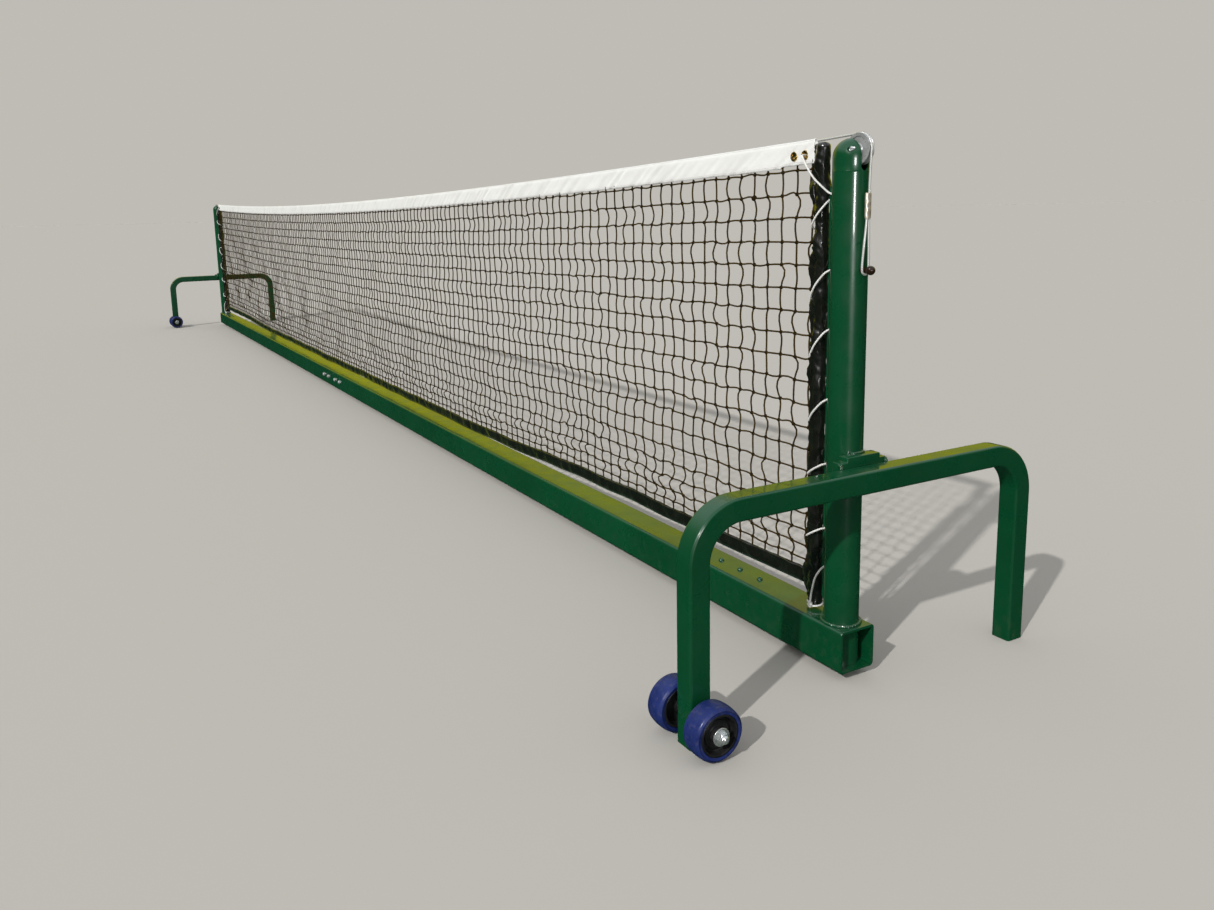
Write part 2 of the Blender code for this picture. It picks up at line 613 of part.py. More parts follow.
def main():
    clear_scene()
    materials = make_materials()
    build_beam(materials)
    build_headband(materials)
    build_netting(materials)
    build_bottom_tape(materials)
    build_cable(materials)
    for end, side in ENDS:
        build_post(end, side, materials)
        build_leg_frame(end, side, materials)
        build_saddle(end, side, materials)
        build_wheels(end, side, materials)
        build_sheave(end, side, materials)
        build_peg(end, side, materials)
        build_lacing_rod(end, side, materials)
        build_side_sleeve(end, side, materials)
        build_lacing_cord(end, side, materials)


main()
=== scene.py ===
"""Looks of the portable pickleball net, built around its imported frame.

End coordinates (u, v, z) are used at both ends: u is the distance outwards from the post's axis along X,
v the distance from the net's plane along Y. End "a" is at +X and end "b" mirrors it.
"""

import math
import random

import bmesh
import bpy
from mathutils import Matrix, Vector, noise


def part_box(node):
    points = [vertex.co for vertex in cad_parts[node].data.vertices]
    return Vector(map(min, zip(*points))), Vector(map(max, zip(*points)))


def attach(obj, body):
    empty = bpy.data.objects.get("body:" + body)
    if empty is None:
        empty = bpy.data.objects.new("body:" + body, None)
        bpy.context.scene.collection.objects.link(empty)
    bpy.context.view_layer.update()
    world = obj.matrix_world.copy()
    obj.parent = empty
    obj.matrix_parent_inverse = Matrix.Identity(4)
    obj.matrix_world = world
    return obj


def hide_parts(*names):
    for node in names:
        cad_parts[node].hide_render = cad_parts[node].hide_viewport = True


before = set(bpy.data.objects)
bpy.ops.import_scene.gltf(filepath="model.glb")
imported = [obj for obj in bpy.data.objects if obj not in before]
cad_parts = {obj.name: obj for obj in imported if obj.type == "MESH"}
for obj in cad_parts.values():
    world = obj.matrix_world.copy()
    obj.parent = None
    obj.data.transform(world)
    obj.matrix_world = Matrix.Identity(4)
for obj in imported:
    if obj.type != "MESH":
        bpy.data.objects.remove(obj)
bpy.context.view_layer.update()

# Places read from the frame.
post_low, post_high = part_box("post_a")
beam_low, beam_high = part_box("beam_a")
legs_low, legs_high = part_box("leg_frame_a")
band_low, band_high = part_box("headband")
tape_low, tape_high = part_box("bottom_tape")
saddle_low, saddle_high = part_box("frame_saddle_a")
tyre_low, tyre_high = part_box("tyre_a_outer")
sheave_low, sheave_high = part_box("sheave_a")
ferrule_low, ferrule_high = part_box("cable_ferrule_a")
dowel_low, dowel_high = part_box("dowel_a")
sleeve_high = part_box("side_sleeve_a")[1]

HALF_SPAN = (post_low.x + post_high.x) / 2
NET_Y = (post_low.y + post_high.y) / 2
ENDS = (("a", 1), ("b", -1))

POST_R = (post_high.y - post_low.y) / 2
POST_WALL = 0.003
POST_TOP = post_high.z
DOME_Z = POST_TOP - POST_R
BEAM = beam_high.y - beam_low.y
BEAM_WALL = 0.0048
BEAM_CORNER = 0.007
BEAM_TOP = beam_high.z
BEAM_MIDDLE = (beam_low.z + beam_high.z) / 2
BEAM_END = beam_high.x - HALF_SPAN
LEG = legs_high.x - legs_low.x
LEG_WALL = 0.0026
LEG_CORNER = 0.005
FRAME_U = (legs_low.x + legs_high.x) / 2 - HALF_SPAN
FRAME_HALF = (legs_high.y - legs_low.y) / 2
FRAME_TOP = legs_high.z
BEND_R = 0.0762
SADDLE_U = (saddle_low.x - HALF_SPAN, saddle_high.x - HALF_SPAN)
WHEEL_R = (tyre_high.z - tyre_low.z) / 2
WHEEL_Z = (tyre_low.z + tyre_high.z) / 2
WHEEL_V = (tyre_low.y + tyre_high.y) / 2 - NET_Y
WHEEL_OFFSET = (tyre_low.x + tyre_high.x) / 2 - HALF_SPAN - FRAME_U
TYRE_HALF = (tyre_high.x - tyre_low.x) / 2
SHEAVE_U = (sheave_low.x + sheave_high.x) / 2 - HALF_SPAN
SHEAVE_Z = (sheave_low.z + sheave_high.z) / 2
SHEAVE_R = (sheave_high.z - sheave_low.z) / 2

BAND_REACH = band_high.x
BAND_TOP = band_high.z
BAND_HEIGHT = 0.043
BAND_SAG = BAND_TOP - BAND_HEIGHT - band_low.z
TAPE_REACH = tape_high.x
TAPE_HEIGHT = 0.028
TAPE_BOTTOM = tape_high.z - TAPE_HEIGHT
TAPE_DROP = TAPE_BOTTOM - tape_low.z
SLEEVE_U = -0.0655
SLEEVE_R = 0.012
SLEEVE_TOP = sleeve_high.z
DOWEL_R = (dowel_high.y - dowel_low.y) / 2
GROMMET_U = (-0.1356, -0.1081)
GROMMET_DROP = 0.0245
CABLE_R = 0.002
CORD_R = 0.0018
ROD_U = -0.044
ROD_R = 0.0032
PEG_Z = 0.700
SCREW_U = (-0.2214, -0.2830, -0.3446)
SPLICE_BOLT_X = (0.06, 0.14)
SLOT_BACK = -0.0095        # sheave slot in the post's top
SLOT_HALF = 0.0075
SLOT_BOTTOM = 0.857
PIN_HOLE_R = 0.0045
TYRE_BORE = 0.0328
CLOTH = 0.0009             # thickness of the headband's and the sleeves' cloth
TAPE_CLOTH = 0.0008
FERRULE_U = 0.0385
EYE_U = 0.0360
CABLE_TURN_R = 0.0243      # of the cable's middle, round the sheave
LACING_LEFT_Z = (0.765, 0.645, 0.540, 0.428, 0.335, 0.221)      # holes in the side sleeve's flap
LACING_RIGHT_Z = (0.700, 0.600, 0.480, 0.366, 0.250, 0.180)     # turns of the cord round the rod


def at(side, u, v, z):
    """World place of a point in end coordinates; side is 1 at end a and -1 at end b."""
    return Vector((side * (HALF_SPAN + u), NET_Y + v, z))


def turns(count, closed=False):
    """Even angles round a full turn, with the last equal to the first when closed."""
    return [2 * math.pi * k / count for k in range(count + closed)]


def band_top(x):
    """Height of the headband's top edge."""
    return BAND_TOP - BAND_SAG * (1 - (x / BAND_REACH) ** 2)


def tape_bottom(x):
    """Height of the bottom tape's lower edge."""
    t = min(max((HALF_SPAN - abs(x) - 0.8) / 0.9, 0.0), 1.0)
    return TAPE_BOTTOM - TAPE_DROP * t * t * (3 - 2 * t)


# ---------------------------------------------------------------------------
# Materials
# ---------------------------------------------------------------------------

class Nodes:
    """Short ways to add and link the nodes of one tree."""

    def __init__(self, tree):
        self.tree = tree

    def add(self, kind, **values):
        """New node with its settings."""
        node = self.tree.nodes.new(kind)
        for name, value in values.items():
            setattr(node, name, value)
        return node

    def link(self, output, socket):
        """Join an output to a socket."""
        self.tree.links.new(output, socket)

    def split(self, vector):
        """The separate X, Y and Z of a vector."""
        node = self.add("ShaderNodeSeparateXYZ")
        self.link(vector, node.inputs[0])
        return node.outputs

    def ramp(self, value, low, high, start=0.0, end=1.0):
        """Run from start to end while the value goes from low to high."""
        node = self.add("ShaderNodeMapRange")
        for name, number in (("From Min", low), ("From Max", high), ("To Min", start), ("To Max", end)):
            node.inputs[name].default_value = number
        self.link(value, node.inputs["Value"])
        return node.outputs["Result"]

    def combine(self, first, second, operation="MULTIPLY"):
        """Join two values by a sum, a product or another operation."""
        node = self.add("ShaderNodeMath", operation=operation)
        self.link(first, node.inputs[0])
        self.link(second, node.inputs[1])
        return node.outputs["Value"]

    def mix(self, factor, first, second):
        """Blend of two colours, each a tuple or another output."""
        node = self.add("ShaderNodeMix", data_type="RGBA")
        self.link(factor, node.inputs[0])
        for socket, colour in ((6, first), (7, second)):
            if isinstance(colour, tuple):
                node.inputs[socket].default_value = (*colour, 1.0)
            else:
                self.link(colour, node.inputs[socket])
        return node.outputs[2]


class Look(Nodes):
    """A Principled material with a few helpers for its textures."""

    def __init__(self, name, colour, roughness=0.5, **sockets):
        self.material = bpy.data.materials.new(name)
        self.material.use_nodes = True
        super().__init__(self.material.node_tree)
        self.shader = self.tree.nodes["Principled BSDF"]
        self.shader.inputs["Base Color"].default_value = (*colour, 1.0)
        self.shader.inputs["Roughness"].default_value = roughness
        for socket, value in sockets.items():
            self.shader.inputs[socket.replace("_", " ")].default_value = value
        self.normal = None

    def place(self, space="Object", stretch=(1, 1, 1)):
        """Texture coordinates, stretched along the axes."""
        source = self.add("ShaderNodeTexCoord")
        mapping = self.add("ShaderNodeMapping")
        mapping.inputs["Scale"].default_value = stretch
        self.link(source.outputs[space], mapping.inputs["Vector"])
        return mapping.outputs["Vector"]

    def noise(self, scale, detail=2.0, **place):
        node = self.add("ShaderNodeTexNoise")
        node.inputs["Scale"].default_value = scale
        node.inputs["Detail"].default_value = detail
        self.link(self.place(**place), node.inputs["Vector"])
        return node.outputs["Fac"]

    def waves(self, period, direction="X", **place):
        """Even bands, one for each period in the coordinates' own units."""
        node = self.add("ShaderNodeTexWave", bands_direction=direction)
        node.inputs["Scale"].default_value = 2 * math.pi / (20 * period)
        node.inputs["Distortion"].default_value = 0.0
        self.link(self.place(**place), node.inputs["Vector"])
        return node.outputs["Fac"]

    def height(self):
        """Z in the object's own coordinates."""
        return self.split(self.place())["Z"]

    def cloud(self, scale, detail, first, second, low=0.3, high=0.7):
        """Two colours blended in soft patches."""
        return self.mix(self.ramp(self.noise(scale, detail), low, high), first, second)

    def drive(self, socket, output):
        """Feed a socket of the shader."""
        self.link(output, self.shader.inputs[socket])

    def rough(self, scale, detail, start, end, high=0.7):
        """Roughness in soft patches from start to end."""
        self.drive("Roughness", self.ramp(self.noise(scale, detail), 0.3, high, start, end))

    def bump(self, height, depth, strength=1.0):
        """Add relief of a given depth in metres on top of any relief so far."""
        node = self.add("ShaderNodeBump")
        node.inputs["Distance"].default_value = depth
        node.inputs["Strength"].default_value = strength
        self.link(height, node.inputs["Height"])
        if self.normal:
            self.link(self.normal, node.inputs["Normal"])
        self.normal = node.outputs["Normal"]
        self.drive("Normal", self.normal)


def green_paint():
    """Gloss enamel with slight orange peel, road dust low down and a few chips at the feet."""
    look = Look("gloss_green_enamel", (0.002, 0.050, 0.014), 0.3, Coat_Weight=0.55, Coat_Roughness=0.06,
                Specular_IOR_Level=0.35)
    paint = look.cloud(5.0, 4.0, (0.0010, 0.050, 0.0170), (0.0016, 0.064, 0.0225))
    low = look.ramp(look.height(), 0.10, 0.0)
    dust = look.combine(low, look.ramp(look.noise(70.0, 6.0), 0.5, 0.8, 0.0, 0.16))
    dusty = look.mix(dust, paint, (0.14, 0.13, 0.10))
    foot = look.ramp(look.height(), 0.014, 0.001)
    chips = look.ramp(look.combine(foot, look.noise(240.0, 5.0)), 0.56, 0.62)
    look.drive("Base Color", look.mix(chips, dusty, (0.09, 0.085, 0.08)))
    look.rough(24.0, 5.0, 0.22, 0.42, high=0.75)
    look.bump(look.noise(420.0, 1.0), 0.00004, 0.6)
    look.bump(look.noise(26.0, 2.0), 0.0003, 0.25)
    look.bump(chips, -0.0002)
    return look.material


def weld_paint():
    """The same enamel over a rippled, spattered weld."""
    look = Look("green_over_weld", (0.002, 0.046, 0.013), 0.25, Coat_Weight=0.8, Coat_Roughness=0.05)
    look.drive("Base Color", look.mix(look.noise(90.0, 3.0), (0.0018, 0.040, 0.013), (0.003, 0.062, 0.020)))
    look.rough(160.0, 3.0, 0.15, 0.35)
    look.bump(look.noise(500.0, 3.0), 0.0003, 0.6)
    return look.material


def white_vinyl():
    """Coated white canvas: fine weave, faint soiling, and a row of lock stitches near the hem."""
    look = Look("white_vinyl_canvas", (0.84, 0.85, 0.83), 0.5, Sheen_Weight=0.08)
    soil = look.ramp(look.noise(9.0, 6.0), 0.45, 0.8, 0.0, 0.6)
    cloth = look.mix(soil, (0.82, 0.83, 0.825), (0.70, 0.70, 0.67))
    warp = look.waves(0.0011, "X", space="UV")
    weft = look.waves(0.0011, "Y", space="UV")
    weave = look.combine(warp, weft)
    stitch = stitches(look, (0.0385, 0.0045), 0.0036)
    look.drive("Base Color", look.mix(look.ramp(stitch, 0.0, 1.0, 0.0, 0.55), cloth, (0.50, 0.49, 0.45)))
    look.rough(60.0, 4.0, 0.42, 0.62)
    look.bump(weave, 0.00012, 0.5)
    look.bump(look.noise(45.0, 4.0), 0.0006, 0.5)
    look.bump(stitch, 0.0004, 0.8)
    return look.material


def stitches(look, rows, pitch):
    """Short raised dashes along a strip, at given distances across it (texture u) and a pitch along it."""
    across = look.split(look.place(space="UV"))["X"]
    dash = look.ramp(look.waves(pitch, "Y", space="UV"), 0.35, 0.5)
    total = None
    for row in rows:
        offset = look.add("ShaderNodeMath", operation="SUBTRACT")
        look.link(across, offset.inputs[0])
        offset.inputs[1].default_value = row
        size = look.add("ShaderNodeMath", operation="ABSOLUTE")
        look.link(offset.outputs[0], size.inputs[0])
        line = look.combine(look.ramp(size.outputs[0], 0.0007, 0.0003), dash)
        total = line if total is None else look.combine(total, line, "ADD")
    return total


def black_vinyl():
    """Glossy black coated cloth with fine grain, creases and chalky dust."""
    look = Look("black_vinyl", (0.012, 0.011, 0.011), 0.25, Coat_Weight=0.8, Coat_Roughness=0.16)
    dust = look.ramp(look.noise(35.0, 6.0), 0.5, 0.85, 0.0, 0.6)
    look.drive("Base Color", look.mix(dust, (0.0060, 0.0052, 0.0042), (0.022, 0.020, 0.018)))
    look.rough(22.0, 4.0, 0.16, 0.42)
    look.bump(look.noise(40.0, 3.0, stretch=(1, 1, 0.6)), 0.0040, 0.8)
    look.bump(look.noise(1300.0, 1.0), 0.00005, 0.5)
    return look.material


KNOT_UV = 2.0          # texture u of the knots starts here, which marks them as darker than the twine


def twine():
    """Olive-brown twisted twine with painted shade in the grooves between its strands, and darker knots;
    texture u runs round it and v along it.
    """
    look = Look("olive_twine", (0.040, 0.026, 0.005), 0.85, Specular_IOR_Level=0.08)
    strands = look.waves(1 / 3, "DIAGONAL", space="UV", stretch=(1, 330, 1))
    tone = look.cloud(14.0, 4.0, (0.034, 0.020, 0.003), (0.080, 0.052, 0.009))
    # The dark colour where the strands dip is painted shade in the grooves between the strands.
    laid = look.mix(look.ramp(strands, 0.0, 0.4), (0.014, 0.009, 0.002), tone)
    across = look.split(look.place(space="UV"))["X"]
    knot = look.ramp(across, KNOT_UV - 0.2, KNOT_UV - 0.1)
    look.drive("Base Color", look.mix(knot, laid, (0.020, 0.012, 0.002)))
    look.bump(strands, 0.0005, 0.8)
    look.bump(look.noise(2500.0, 2.0), 0.0001, 0.5)
    return look.material


def white_cord():
    """Braided white cord: two sets of strands crossing, with painted shade between them, slightly soiled."""
    look = Look("white_braided_cord", (0.80, 0.81, 0.79), 0.6, Sheen_Weight=0.1)
    right = look.waves(0.5, "DIAGONAL", space="UV", stretch=(1, 260, 1))
    left = look.waves(0.5, "DIAGONAL", space="UV", stretch=(-1, 260, 1))
    braid = look.combine(right, left, "MAXIMUM")
    tone = look.cloud(60.0, 4.0, (0.84, 0.85, 0.84), (0.62, 0.61, 0.56), 0.4, 0.8)
    # The grey where the braid dips is painted shade between the strands; the tone's darker patches are
    # soiling.
    look.drive("Base Color", look.mix(look.ramp(braid, 0.1, 0.6), (0.42, 0.42, 0.40), tone))
    look.bump(braid, 0.0003, 0.9)
    return look.material


def wire_rope():
    """Bright laid wire under a thin clear sleeve, with painted shade between the wires."""
    look = Look("sleeved_wire", (0.55, 0.55, 0.54), 0.3, Metallic=0.35, Coat_Weight=1.0, Coat_Roughness=0.08)
    strands = look.waves(1 / 6, "DIAGONAL", space="UV", stretch=(1, 90, 1))
    # The dark grey where the strands dip is painted shade in the grooves between the wires.
    look.drive("Base Color", look.mix(look.ramp(strands, 0.0, 0.5), (0.26, 0.26, 0.26), (0.80, 0.80, 0.78)))
    look.bump(strands, 0.0003, 0.7)
    return look.material


def metal(name, colour, darker, roughness, scale=60.0, grain=0.00003, metallic=1.0):
    """Metal with cloudy tarnish, varied polish and fine scratches."""
    look = Look(name, colour, roughness, Metallic=metallic)
    look.drive("Base Color", look.cloud(scale, 6.0, colour, darker, low=0.35))
    look.rough(scale * 2.5, 4.0, roughness * 0.7, roughness * 1.5)
    look.bump(look.noise(scale * 9, 2.0, stretch=(1, 6, 6)), grain, 0.6)
    return look.material


def blue_tread():
    """Cast blue polyurethane, with scuffs, dust and fine turning lines."""
    look = Look("blue_polyurethane", (0.020, 0.034, 0.200), 0.34, Specular_IOR_Level=0.25,
                Subsurface_Weight=0.04, Subsurface_Scale=0.002)
    tone = look.cloud(40.0, 4.0, (0.009, 0.018, 0.100), (0.016, 0.030, 0.155))
    dust = look.ramp(look.noise(150.0, 7.0), 0.55, 0.8, 0.0, 0.45)
    look.drive("Base Color", look.mix(dust, tone, (0.09, 0.09, 0.12)))
    look.rough(80.0, 5.0, 0.24, 0.52)
    look.bump(look.waves(0.0016, "X"), 0.00005, 0.5)
    look.bump(look.noise(300.0, 4.0), 0.00015, 0.5)
    return look.material


def wood():
    """Turned hardwood with grain along its length."""
    look = Look("turned_hardwood", (0.42, 0.27, 0.13), 0.5)
    grain = look.ramp(look.noise(90.0, 5.0, stretch=(1, 1, 0.04)), 0.3, 0.7)
    look.drive("Base Color", look.mix(grain, (0.46, 0.30, 0.15), (0.26, 0.15, 0.06)))
    look.rough(30.0, 3.0, 0.4, 0.65)
    look.bump(grain, 0.0002, 0.6)
    return look.material


def moulded_plastic(name, colour, roughness=0.4):
    """Moulded plastic: speckled gloss over a fine spark-eroded grain."""
    look = Look(name, colour, roughness, Specular_IOR_Level=0.4)
    lighter = tuple(min(1.0, c * 2.2 + 0.006) for c in colour)
    look.drive("Base Color", look.mix(look.ramp(look.noise(120.0, 5.0), 0.5, 0.8, 0.0, 0.7), colour, lighter))
    look.rough(90.0, 4.0, roughness * 0.8, roughness * 1.4)
    look.bump(look.noise(1500.0, 2.0), 0.00005, 0.6)
    return look.material


MATERIALS = {
    "green_paint": green_paint(),
    "weld": weld_paint(),
    "white_vinyl": white_vinyl(),
    "black_vinyl": black_vinyl(),
    "twine": twine(),
    "white_cord": white_cord(),
    "wire": wire_rope(),
    "zinc": metal("zinc_plate", (0.58, 0.59, 0.60), (0.38, 0.39, 0.40), 0.30, metallic=0.55),
    "chrome": metal("bright_chrome", (0.80, 0.82, 0.83), (0.62, 0.64, 0.65), 0.16, metallic=0.8),
    "brass": metal("eyelet_brass", (0.72, 0.47, 0.13), (0.42, 0.26, 0.07), 0.22, 120.0),
    "copper": metal("tinned_copper", (0.66, 0.60, 0.53), (0.50, 0.40, 0.30), 0.30, 90.0, metallic=0.6),
    "blue_tread": blue_tread(),
    "black_plastic": moulded_plastic("black_nylon", (0.010, 0.010, 0.011)),
    "wood": wood(),
    "peg_black": moulded_plastic("brown_black_knob", (0.022, 0.010, 0.006), 0.18),
}


# ---------------------------------------------------------------------------
# Mesh tools
# ---------------------------------------------------------------------------

class Skin:
    """Gathers the points, faces and texture coordinates of one piece, strip by strip."""

    def __init__(self):
        self.points = []
        self.faces = []
        self.uvs = []

    def strip(self, rings, closed=True, joined=False, caps=True, width=1.0, offset=0.0):
        """Skin equal rings of points. Texture u runs 0 to width across a ring, v is the metres along."""
        first = len(self.points)
        count = len(rings[0])
        for ring in rings:
            self.points.extend(ring)
        along = [0.0]
        for before, after in zip(rings, rings[1:]):
            along.append(along[-1] + (Vector(after[0]) - Vector(before[0])).length)
        pairs = [(i, i + 1, along[i], along[i + 1]) for i in range(len(rings) - 1)]
        if joined:
            pairs.append((len(rings) - 1, 0, along[-1], along[-1]))
        across = count if closed else count - 1
        for i, j, near, far in pairs:
            for k in range(across):
                m = (k + 1) % count
                start, end = offset + width * k / across, offset + width * (k + 1) / across
                self.faces.append((first + i * count + k, first + i * count + m,
                                   first + j * count + m, first + j * count + k))
                self.uvs.extend(((start, near), (end, near), (end, far), (start, far)))
        if caps and closed and not joined:
            last = first + (len(rings) - 1) * count
            self.faces.append(tuple(first + k for k in reversed(range(count))))
            self.faces.append(tuple(last + k for k in range(count)))
            self.uvs.extend([(offset, 0.0)] * (2 * count))

    def tube(self, path, radius, sides=12, caps=True, lobes=0, lay=0.02, depth=0.1):
        """Round bar along a path; lobes gives it that many strands, with one turn in each lay."""
        frames = carried_frames(path)
        rings = []
        run = 0.0
        for i, (point, (across, up)) in enumerate(zip(path, frames)):
            if i:
                run += (point - path[i - 1]).length
            size = radius(i / (len(path) - 1)) if callable(radius) else radius
            ring = []
            for angle in turns(sides):
                r = size
                if lobes:
                    r *= 1 - depth * (1 - abs(math.cos(lobes / 2 * (angle - 2 * math.pi * run / lay))))
                ring.append(point + across * (r * math.cos(angle)) + up * (r * math.sin(angle)))
            rings.append(ring)
        self.strip(rings, caps=caps)

    def lathe(self, profile, centre, axis, steps=48):
        """Turn (radius, distance) points about an axis. A profile clear of the axis is joined in a loop."""
        axis = Vector(axis).normalized()
        across, up = carried_frames([Vector(centre), Vector(centre) + axis])[0]
        solid = profile[0][0] < 1e-6
        rings = []
        for angle in turns(steps):
            out = across * math.cos(angle) + up * math.sin(angle)
            rings.append([Vector(centre) + axis * a + out * r for r, a in profile])
        first = len(self.points)
        if not solid:
            self.strip(rings, joined=True)
            return
        inner = profile[1:-1]
        count = len(inner)
        self.points.append(Vector(centre) + axis * profile[0][1])
        for ring in rings:
            self.points.extend(ring[1:-1])
        self.points.append(Vector(centre) + axis * profile[-1][1])
        tip = len(self.points) - 1
        for i in range(steps):
            a, b = first + 1 + i * count, first + 1 + ((i + 1) % steps) * count
            self.faces.append((first, b, a))
            self.faces.append((tip, a + count - 1, b + count - 1))
            self.uvs.extend([(0.0, 0.0)] * 6)
            for k in range(count - 1):
                self.faces.append((a + k, b + k, b + k + 1, a + k + 1))
                low, high = k / count, (k + 1) / count
                self.uvs.extend(((i / steps, low), ((i + 1) / steps, low), ((i + 1) / steps, high),
                                 (i / steps, high)))

    def piece(self, name, material, body="frame", nodes=(), slot=None, sharp=35, turn_out=True,
              weighted=False):
        """Make the object, which rides on a body and may stand for CAD nodes.

        Its slot argument is not used.
        """
        slot = slot or material
        mesh = bpy.data.meshes.new(name)
        mesh.from_pydata(self.points, [], self.faces)
        layer = mesh.uv_layers.new(name="flat")
        layer.data.foreach_set("uv", [number for pair in self.uvs for number in pair])
        if turn_out:
            bm = bmesh.new()
            bm.from_mesh(mesh)
            bmesh.ops.recalc_face_normals(bm, faces=bm.faces)
            bm.to_mesh(mesh)
            bm.free()
        mesh.materials.append(MATERIALS[material])
        mesh.shade_smooth()
        mesh.set_sharp_from_angle(angle=math.radians(sharp))
        thing = bpy.data.objects.new(name, mesh)
        bpy.context.collection.objects.link(thing)
        if weighted:
            modifier = thing.modifiers.new("flat_sides", "WEIGHTED_NORMAL")
            modifier.keep_sharp = True
        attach(thing, body)
        if nodes:
            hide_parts(*nodes)
        return thing


def carried_frames(path):
    """Two directions square to the path at each of its points, carried along it without twisting."""
    frames = []
    across = None
    for i, point in enumerate(path):
        before, after = path[max(i - 1, 0)], path[min(i + 1, len(path) - 1)]
        ahead = (after - before).normalized()
        if across is None:
            helper = Vector((0, 0, 1)) if abs(ahead.z) < 0.7 else Vector((0, 1, 0))
            across = ahead.cross(helper).normalized()
        across = (across - ahead * across.dot(ahead)).normalized()
        frames.append((across, ahead.cross(across)))
    return frames


def smooth_path(points, step):
    """A smooth curve through the points, with its own points about a step apart."""
    path = []
    for i in range(len(points) - 1):
        p0, p1 = points[max(i - 1, 0)], points[i]
        p2, p3 = points[i + 1], points[min(i + 2, len(points) - 1)]
        count = max(1, round((p2 - p1).length / step))
        for k in range(count):
            t = k / count
            path.append(0.5 * (2 * p1 + (p2 - p0) * t + (2 * p0 - 5 * p1 + 4 * p2 - p3) * t * t
                               + (3 * p1 - p0 - 3 * p2 + p3) * t ** 3))
    path.append(points[-1].copy())
    return path


def rounded_rect(width, height, radius, steps=6):
    points = []
    for corner, (cx, cy) in enumerate(((1, 1), (-1, 1), (-1, -1), (1, -1))):
        for i in range(steps + 1):
            angle = math.radians(90 * corner + 90 * i / steps)
            points.append((cx * (width / 2 - radius) + radius * math.cos(angle),
                           cy * (height / 2 - radius) + radius * math.sin(angle)))
    return points


def ripple(place, size, amount):
    """Smooth noise at a place, from -amount to amount, with bumps about size metres across."""
    return amount * noise.noise(Vector(place) / size)


# ---------------------------------------------------------------------------
# Steel frame
# ---------------------------------------------------------------------------

def square_tube_rings(outline, bore, places, lip=0.0005):
    """Rings of a hollow tube through placed sections, with a small round on both cut ends."""
    shrink = 1 - lip / max(abs(a) for a, _ in outline)
    eased = [(a * shrink, b * shrink) for a, b in outline]
    shifts = [lip] + [0.0] * (len(places) - 2) + [-lip]
    rings = [places[0](eased, 0.0)]
    rings += [place(outline, shift) for place, shift in zip(places, shifts)]
    rings += [places[-1](eased, 0.0)]
    rings += [place(bore, 0.0) for place in reversed(places)]
    return rings


def tube_sections(size, corner, wall):
    """Outline and bore of a square tube."""
    return rounded_rect(size, size, corner), rounded_rect(size - 2 * wall, size - 2 * wall, corner - wall)


def build_beam():
    """Square tube in two halves, with the painted screws in its top and the bolts of its splice."""
    outline, bore = tube_sections(BEAM, BEAM_CORNER, BEAM_WALL)

    def section_at(x, side):
        def place(section, shift):
            return [Vector((x + side * shift, NET_Y + a, BEAM_MIDDLE + b)) for a, b in section]
        return place

    for end, side in ENDS:
        stops = [side * (0.0003 + (HALF_SPAN + BEAM_END - 0.0003) * i / 12) for i in range(13)]
        skin = Skin()
        skin.strip(square_tube_rings(outline, bore, [section_at(x, side) for x in stops]), joined=True)
        skin.piece(f"beam_tube_{end}", "green_paint", nodes=[f"beam_{end}"], weighted=True)

        for i, u in enumerate(SCREW_U):
            skin = Skin()
            dome = [(0.0020, 0.0030), (0.0026, 0.0042), (0.0040, 0.0038), (0.0052, 0.0026), (0.0060, 0.0003)]
            skin.lathe([(0, 0.0030)] + dome + [(0.003, 0.0001), (0, 0.0001)], at(side, u, 0, BEAM_TOP),
                       (0, 0, 1), 24)
            skin.piece(f"painted_screw_{end}{i + 1}", "green_paint",
                       nodes=[f"beam_screw_{end}{i + 1}"])
        for i, x in enumerate(SPLICE_BOLT_X):
            centre = Vector((side * x, NET_Y - BEAM / 2, BEAM_MIDDLE))
            skin = Skin()
            hex_head(skin, centre, Vector((0, -1, 0)), 0.0003, 0.0060, 0.0076)
            skin.lathe([(0.0052, 0.0001), (0.0092, 0.0001), (0.0092, 0.0010), (0.0052, 0.0010)], centre,
                       (0, -1, 0), 24)
            skin.piece(f"splice_hex_{end}{i + 1}", "zinc", nodes=[f"splice_bolt_{end}{i + 1}"])


def hex_head(skin, centre, axis, start, height, radius):
    """Chamfered hexagon from start, with its size across the corners twice the radius."""
    across, up = carried_frames([centre, centre + axis])[0]
    rings = []
    for rise, inset in ((0.0, 0.0), (height * 0.86, 0.0), (height, 0.14)):
        ring = []
        for k in range(12):
            corner = math.cos(math.radians(30)) / math.cos(math.radians((30 * k) % 60 - 30))
            r = radius * (1 - inset) if inset else radius * corner
            angle = math.radians(30 * k)
            ring.append(centre + axis * (start + rise) + across * (r * math.cos(angle))
                        + up * (r * math.sin(angle)))
        rings.append(ring)
    skin.strip(rings)


SEAM_Z = 0.8565        # ground-down seam between the tube and its domed cap
SEAM = ((-0.0009, 0.0), (-0.0004, -0.00012), (0.0, 0.00028), (0.0005, -0.00012), (0.0010, 0.0))


